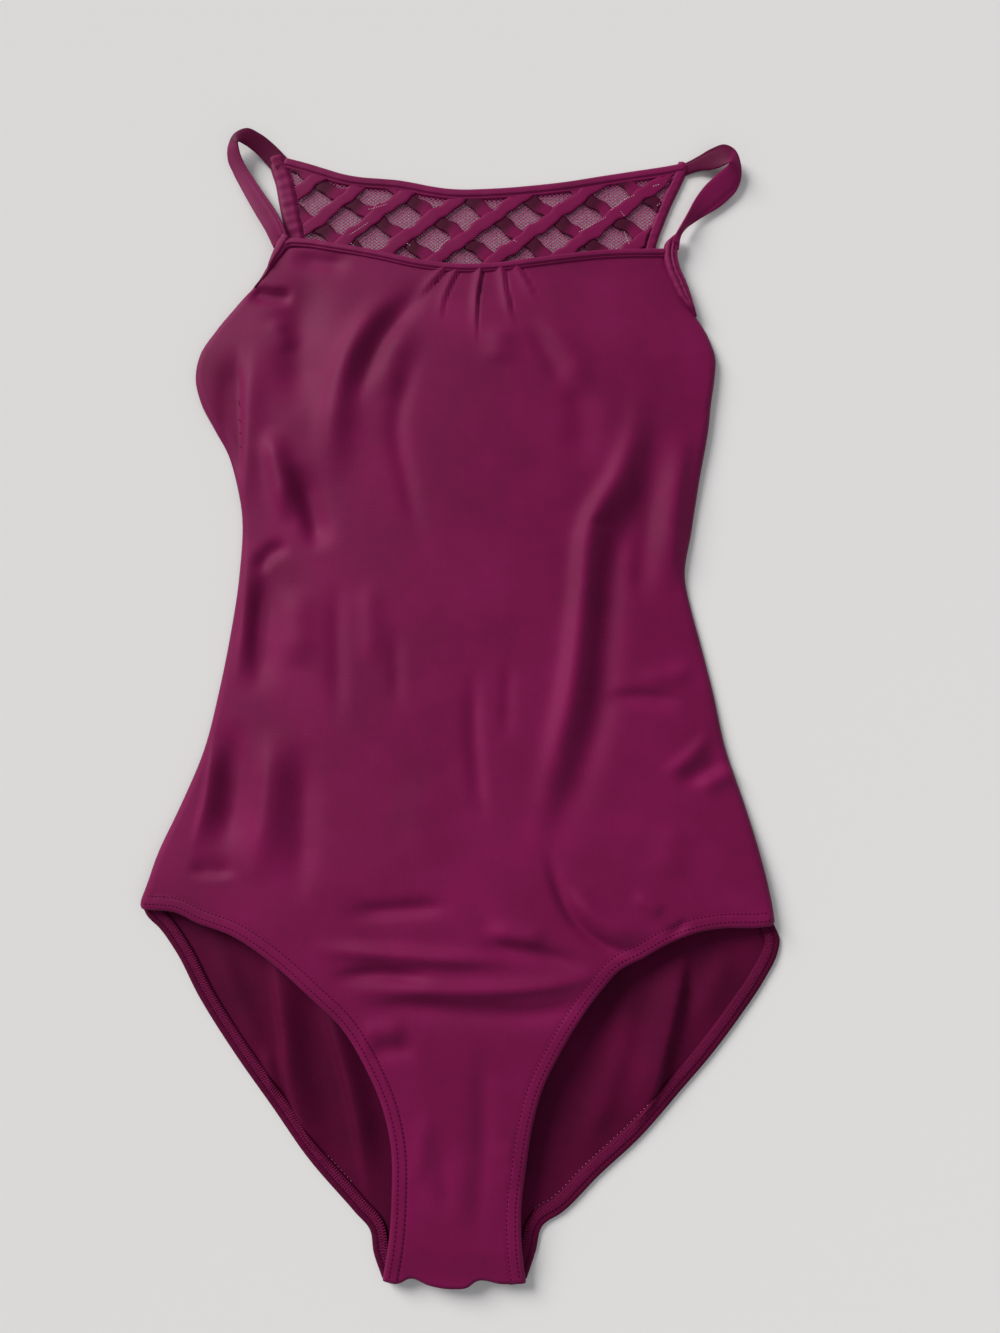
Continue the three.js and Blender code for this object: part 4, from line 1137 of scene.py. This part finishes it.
def gusset_strip():
    """A strip bent round the crotch: it runs down under the front, turns in a half circle and runs back up
    on the back panel."""
    bend = np.linspace(np.pi / 2, -np.pi / 2, 13)
    down = np.linspace(GUSSET_TOP, GUSSET_FOLD - GUSSET_BEND, 40)
    drop = np.concatenate([down, down[-1] + GUSSET_BEND * np.cos(bend), down[::-1]])
    high = np.concatenate([np.ones(40), 0.5 + 0.5 * np.sin(bend), np.zeros(40)])
    across = np.linspace(GUSSET_MIDDLE - GUSSET_HALF, GUSSET_MIDDLE + GUSSET_HALF, 30)
    plan = np.dstack(np.meshgrid(across, drop))
    up = GUSSET_LOW + 2 * GUSSET_BEND * high[:, None] * np.ones_like(across)[None]
    return np.dstack([plan, up])


gusset_points = gusset_strip()
gusset = new_piece("gusset_lining_cloth", gusset_points, quads(*gusset_points.shape[:2]), INNER_KNIT_AND_SHADE,
                   flat=gusset_points[..., :2])
thicken(gusset, LINING)
sew_in(gusset, "gusset_knit", "gusset_lining")


# ---- Straps ----
# Each strap is a loop of folded tape with an elastic in it. It runs on from the front armhole binding, lies
# out on the table and folds over at its bend to show its darker inner face. It is sewn in at the yoke's
# corner, under the bindings.
STRAP_THICK = 1.9
STRAP_RINGS = 170
# The two edges of each strap, outer then inner, from the front corner to the yoke corner.
STRAP_EDGES = {
    "right": [
        ((-110, 40, 5.2), (-101.5, 35, 5.6)), ((-115, 29.5, 5.6), (-105, 25, 6.2)),
        ((-121, 19, 4.8), (-110, 15.5, 5.6)), ((-127, 8, 3.4), (-116.5, 5.5, 4.6)),
        ((-132, -1.5, 2.6), (-123, -4.5, 4.6)), ((-136.5, -10.5, 2.4), (-128.5, -13, 5.6)),
        ((-139.8, -19, 3.0), (-131.5, -19.5, 7.4)), ((-139.5, -26, 4.8), (-132.5, -24, 9.2)),
        ((-136, -32, 7.2), (-132.5, -25.8, 9.8)), ((-129, -36.5, 7.2), (-129, -25.8, 6.6)),
        ((-121, -34.5, 5.0), (-123, -22.5, 3.4)), ((-113.5, -29.5, 2.8), (-118, -17.5, 1.6)),
        ((-104.5, -20.5, 1.0), (-113, -12, 1.0)),
    ],
    "left": [
        ((124.5, 41, 5.2), (117.5, 40, 5.0)), ((125.5, 34, 5.6), (121, 34.5, 6.4)),
        ((128.5, 27.5, 3.8), (125.6, 27.2, 7.4)), ((134.5, 22, 2.4), (130, 18.5, 6.4)),
        ((141.5, 17, 2.0), (135, 8.5, 5.4)), ((148.5, 12.5, 2.0), (140.5, 0.5, 5.2)),
        ((155.5, 6.5, 2.2), (147, -6, 5.8)), ((160.5, 0.5, 2.6), (152.5, -10.5, 7.0)),
        ((162.8, -6, 3.4), (154.5, -12, 8.2)), ((162.5, -14, 5.2), (155, -12.3, 9.0)),
        ((159.5, -21.5, 7.2), (154, -12, 8.6)), ((153, -25.8, 7.0), (150, -11.5, 6.0)),
        ((146, -24.3, 5.6), (145.5, -11.5, 3.8)), ((138.5, -21, 3.2), (138.5, -12, 2.0)),
        ((131.5, -18, 1.4), (131.5, -10, 1.0)), ((124, -14.5, 0.9), (127, -7, 0.9)),
    ],
}
STRAP_GROOVES = {"right": (-0.72, -0.36), "left": (0.68,)}
STRAP_FOLD = {"right": 0.655, "left": 0.69}


def strap_section(share, thick, grooves):
    """A flat tape with round edges, seen end on, with grooves along its upper face. The share scales its
    half width."""
    turn = np.linspace(0, 2 * np.pi, 40, endpoint=False)
    x = np.sign(np.cos(turn)) * np.abs(np.cos(turn)) ** 0.55
    y = np.sign(np.sin(turn)) * np.abs(np.sin(turn)) ** 0.7 * thick / 2
    for groove in grooves:
        y = y - 0.32 * (np.sin(turn) > 0) * np.exp(-(((x - groove) / 0.12) ** 2))
    return np.stack([x * share, y], axis=-1)


def strap_points(side, section):
    """The section carried between the strap's two edges, square to the tape all along."""
    edges = np.array(STRAP_EDGES[side], float)
    middle, half = edges.mean(1), (edges[:, 0] - edges[:, 1]) / 2
    line = line_through(np.hstack([middle, half]), STRAP_RINGS)
    middle, half = line[:, :3], line[:, 3:]
    up = np.cross(half, np.gradient(middle, axis=0))
    up /= np.linalg.norm(up, axis=1)[:, None]
    up *= np.sign(up[:, 2:])
    return middle[:, None] + half[:, None] * section[None, :, :1] + up[:, None] * section[None, :, 1:]


def strap_material():
    """Binding knit, with the duller and darker inner face past the fold."""
    material = knit_material("strap_knit", dye(124, 16, 76), dye(103, 9, 60), rough=0.58, sheen=0.06)
    tree = material.node_tree
    shader = tree.nodes["Principled BSDF"]
    outer = shader.inputs["Base Color"].links[0].from_socket
    inner_face = tree.nodes.new("ShaderNodeAttribute")
    inner_face.attribute_name = "inner_face"
    mix = tree.nodes.new("ShaderNodeMix")
    mix.data_type = "RGBA"
    tree.links.new(inner_face.outputs["Fac"], mix.inputs["Factor"])
    tree.links.new(outer, mix.inputs["A"])
    mix.inputs["B"].default_value = dye(86, 2, 48)
    tree.links.new(mix.outputs["Result"], shader.inputs["Base Color"])
    return material


STRAP_KNIT = strap_material()


def strap_piece(name, side, section, material, node):
    """A closed loop that bends from the garment to the strap's body across the line through its ends."""
    points = strap_points(side, section)
    rings, around = points.shape[:2]
    ends = [np.arange(around), np.arange(around)[::-1] + (rings - 1) * around]
    made = new_piece(name, points, quads(rings, around, closed=True), material, ends=ends)
    inner_face = made.data.attributes.new("inner_face", "FLOAT", "POINT")
    past_fold = ease(np.linspace(0, 1, rings), STRAP_FOLD[side] - 0.01, STRAP_FOLD[side] + 0.02)
    inner_face.data.foreach_set("value", np.repeat(past_fold, around).astype(np.float32))
    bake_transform(made)
    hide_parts(node)


for side in SIDES:
    strap_piece(f"strap_tape_{side}", side, strap_section(1, STRAP_THICK, STRAP_GROOVES[side]), STRAP_KNIT,
                f"strap_{side}")
    strap_piece(f"strap_elastic_core_{side}", side, strap_section(0.5, 0.5, ()), RUBBER,
                f"strap_elastic_{side}")

# Bar tacks: a short dense zigzag across each sewn end.
TACKS = {
    "front_right": ((-107, 34.5), (-103, 33), 7.6),
    "front_left": ((121, 37), (124, 37), 7.3),
    "back_right": ((-112, -14), (-108, -18), 3.2),
    "back_left": ((130, -11), (130, -14.5), 3.2),
}
for place, (first, last, level) in TACKS.items():
    zigzag(f"bartack_threads_{place}", np.linspace(first, last, 12), 0.8, 0.7, 0.15, level_at(level),
           LOOPER_THREAD, [f"bartack_{place}"])
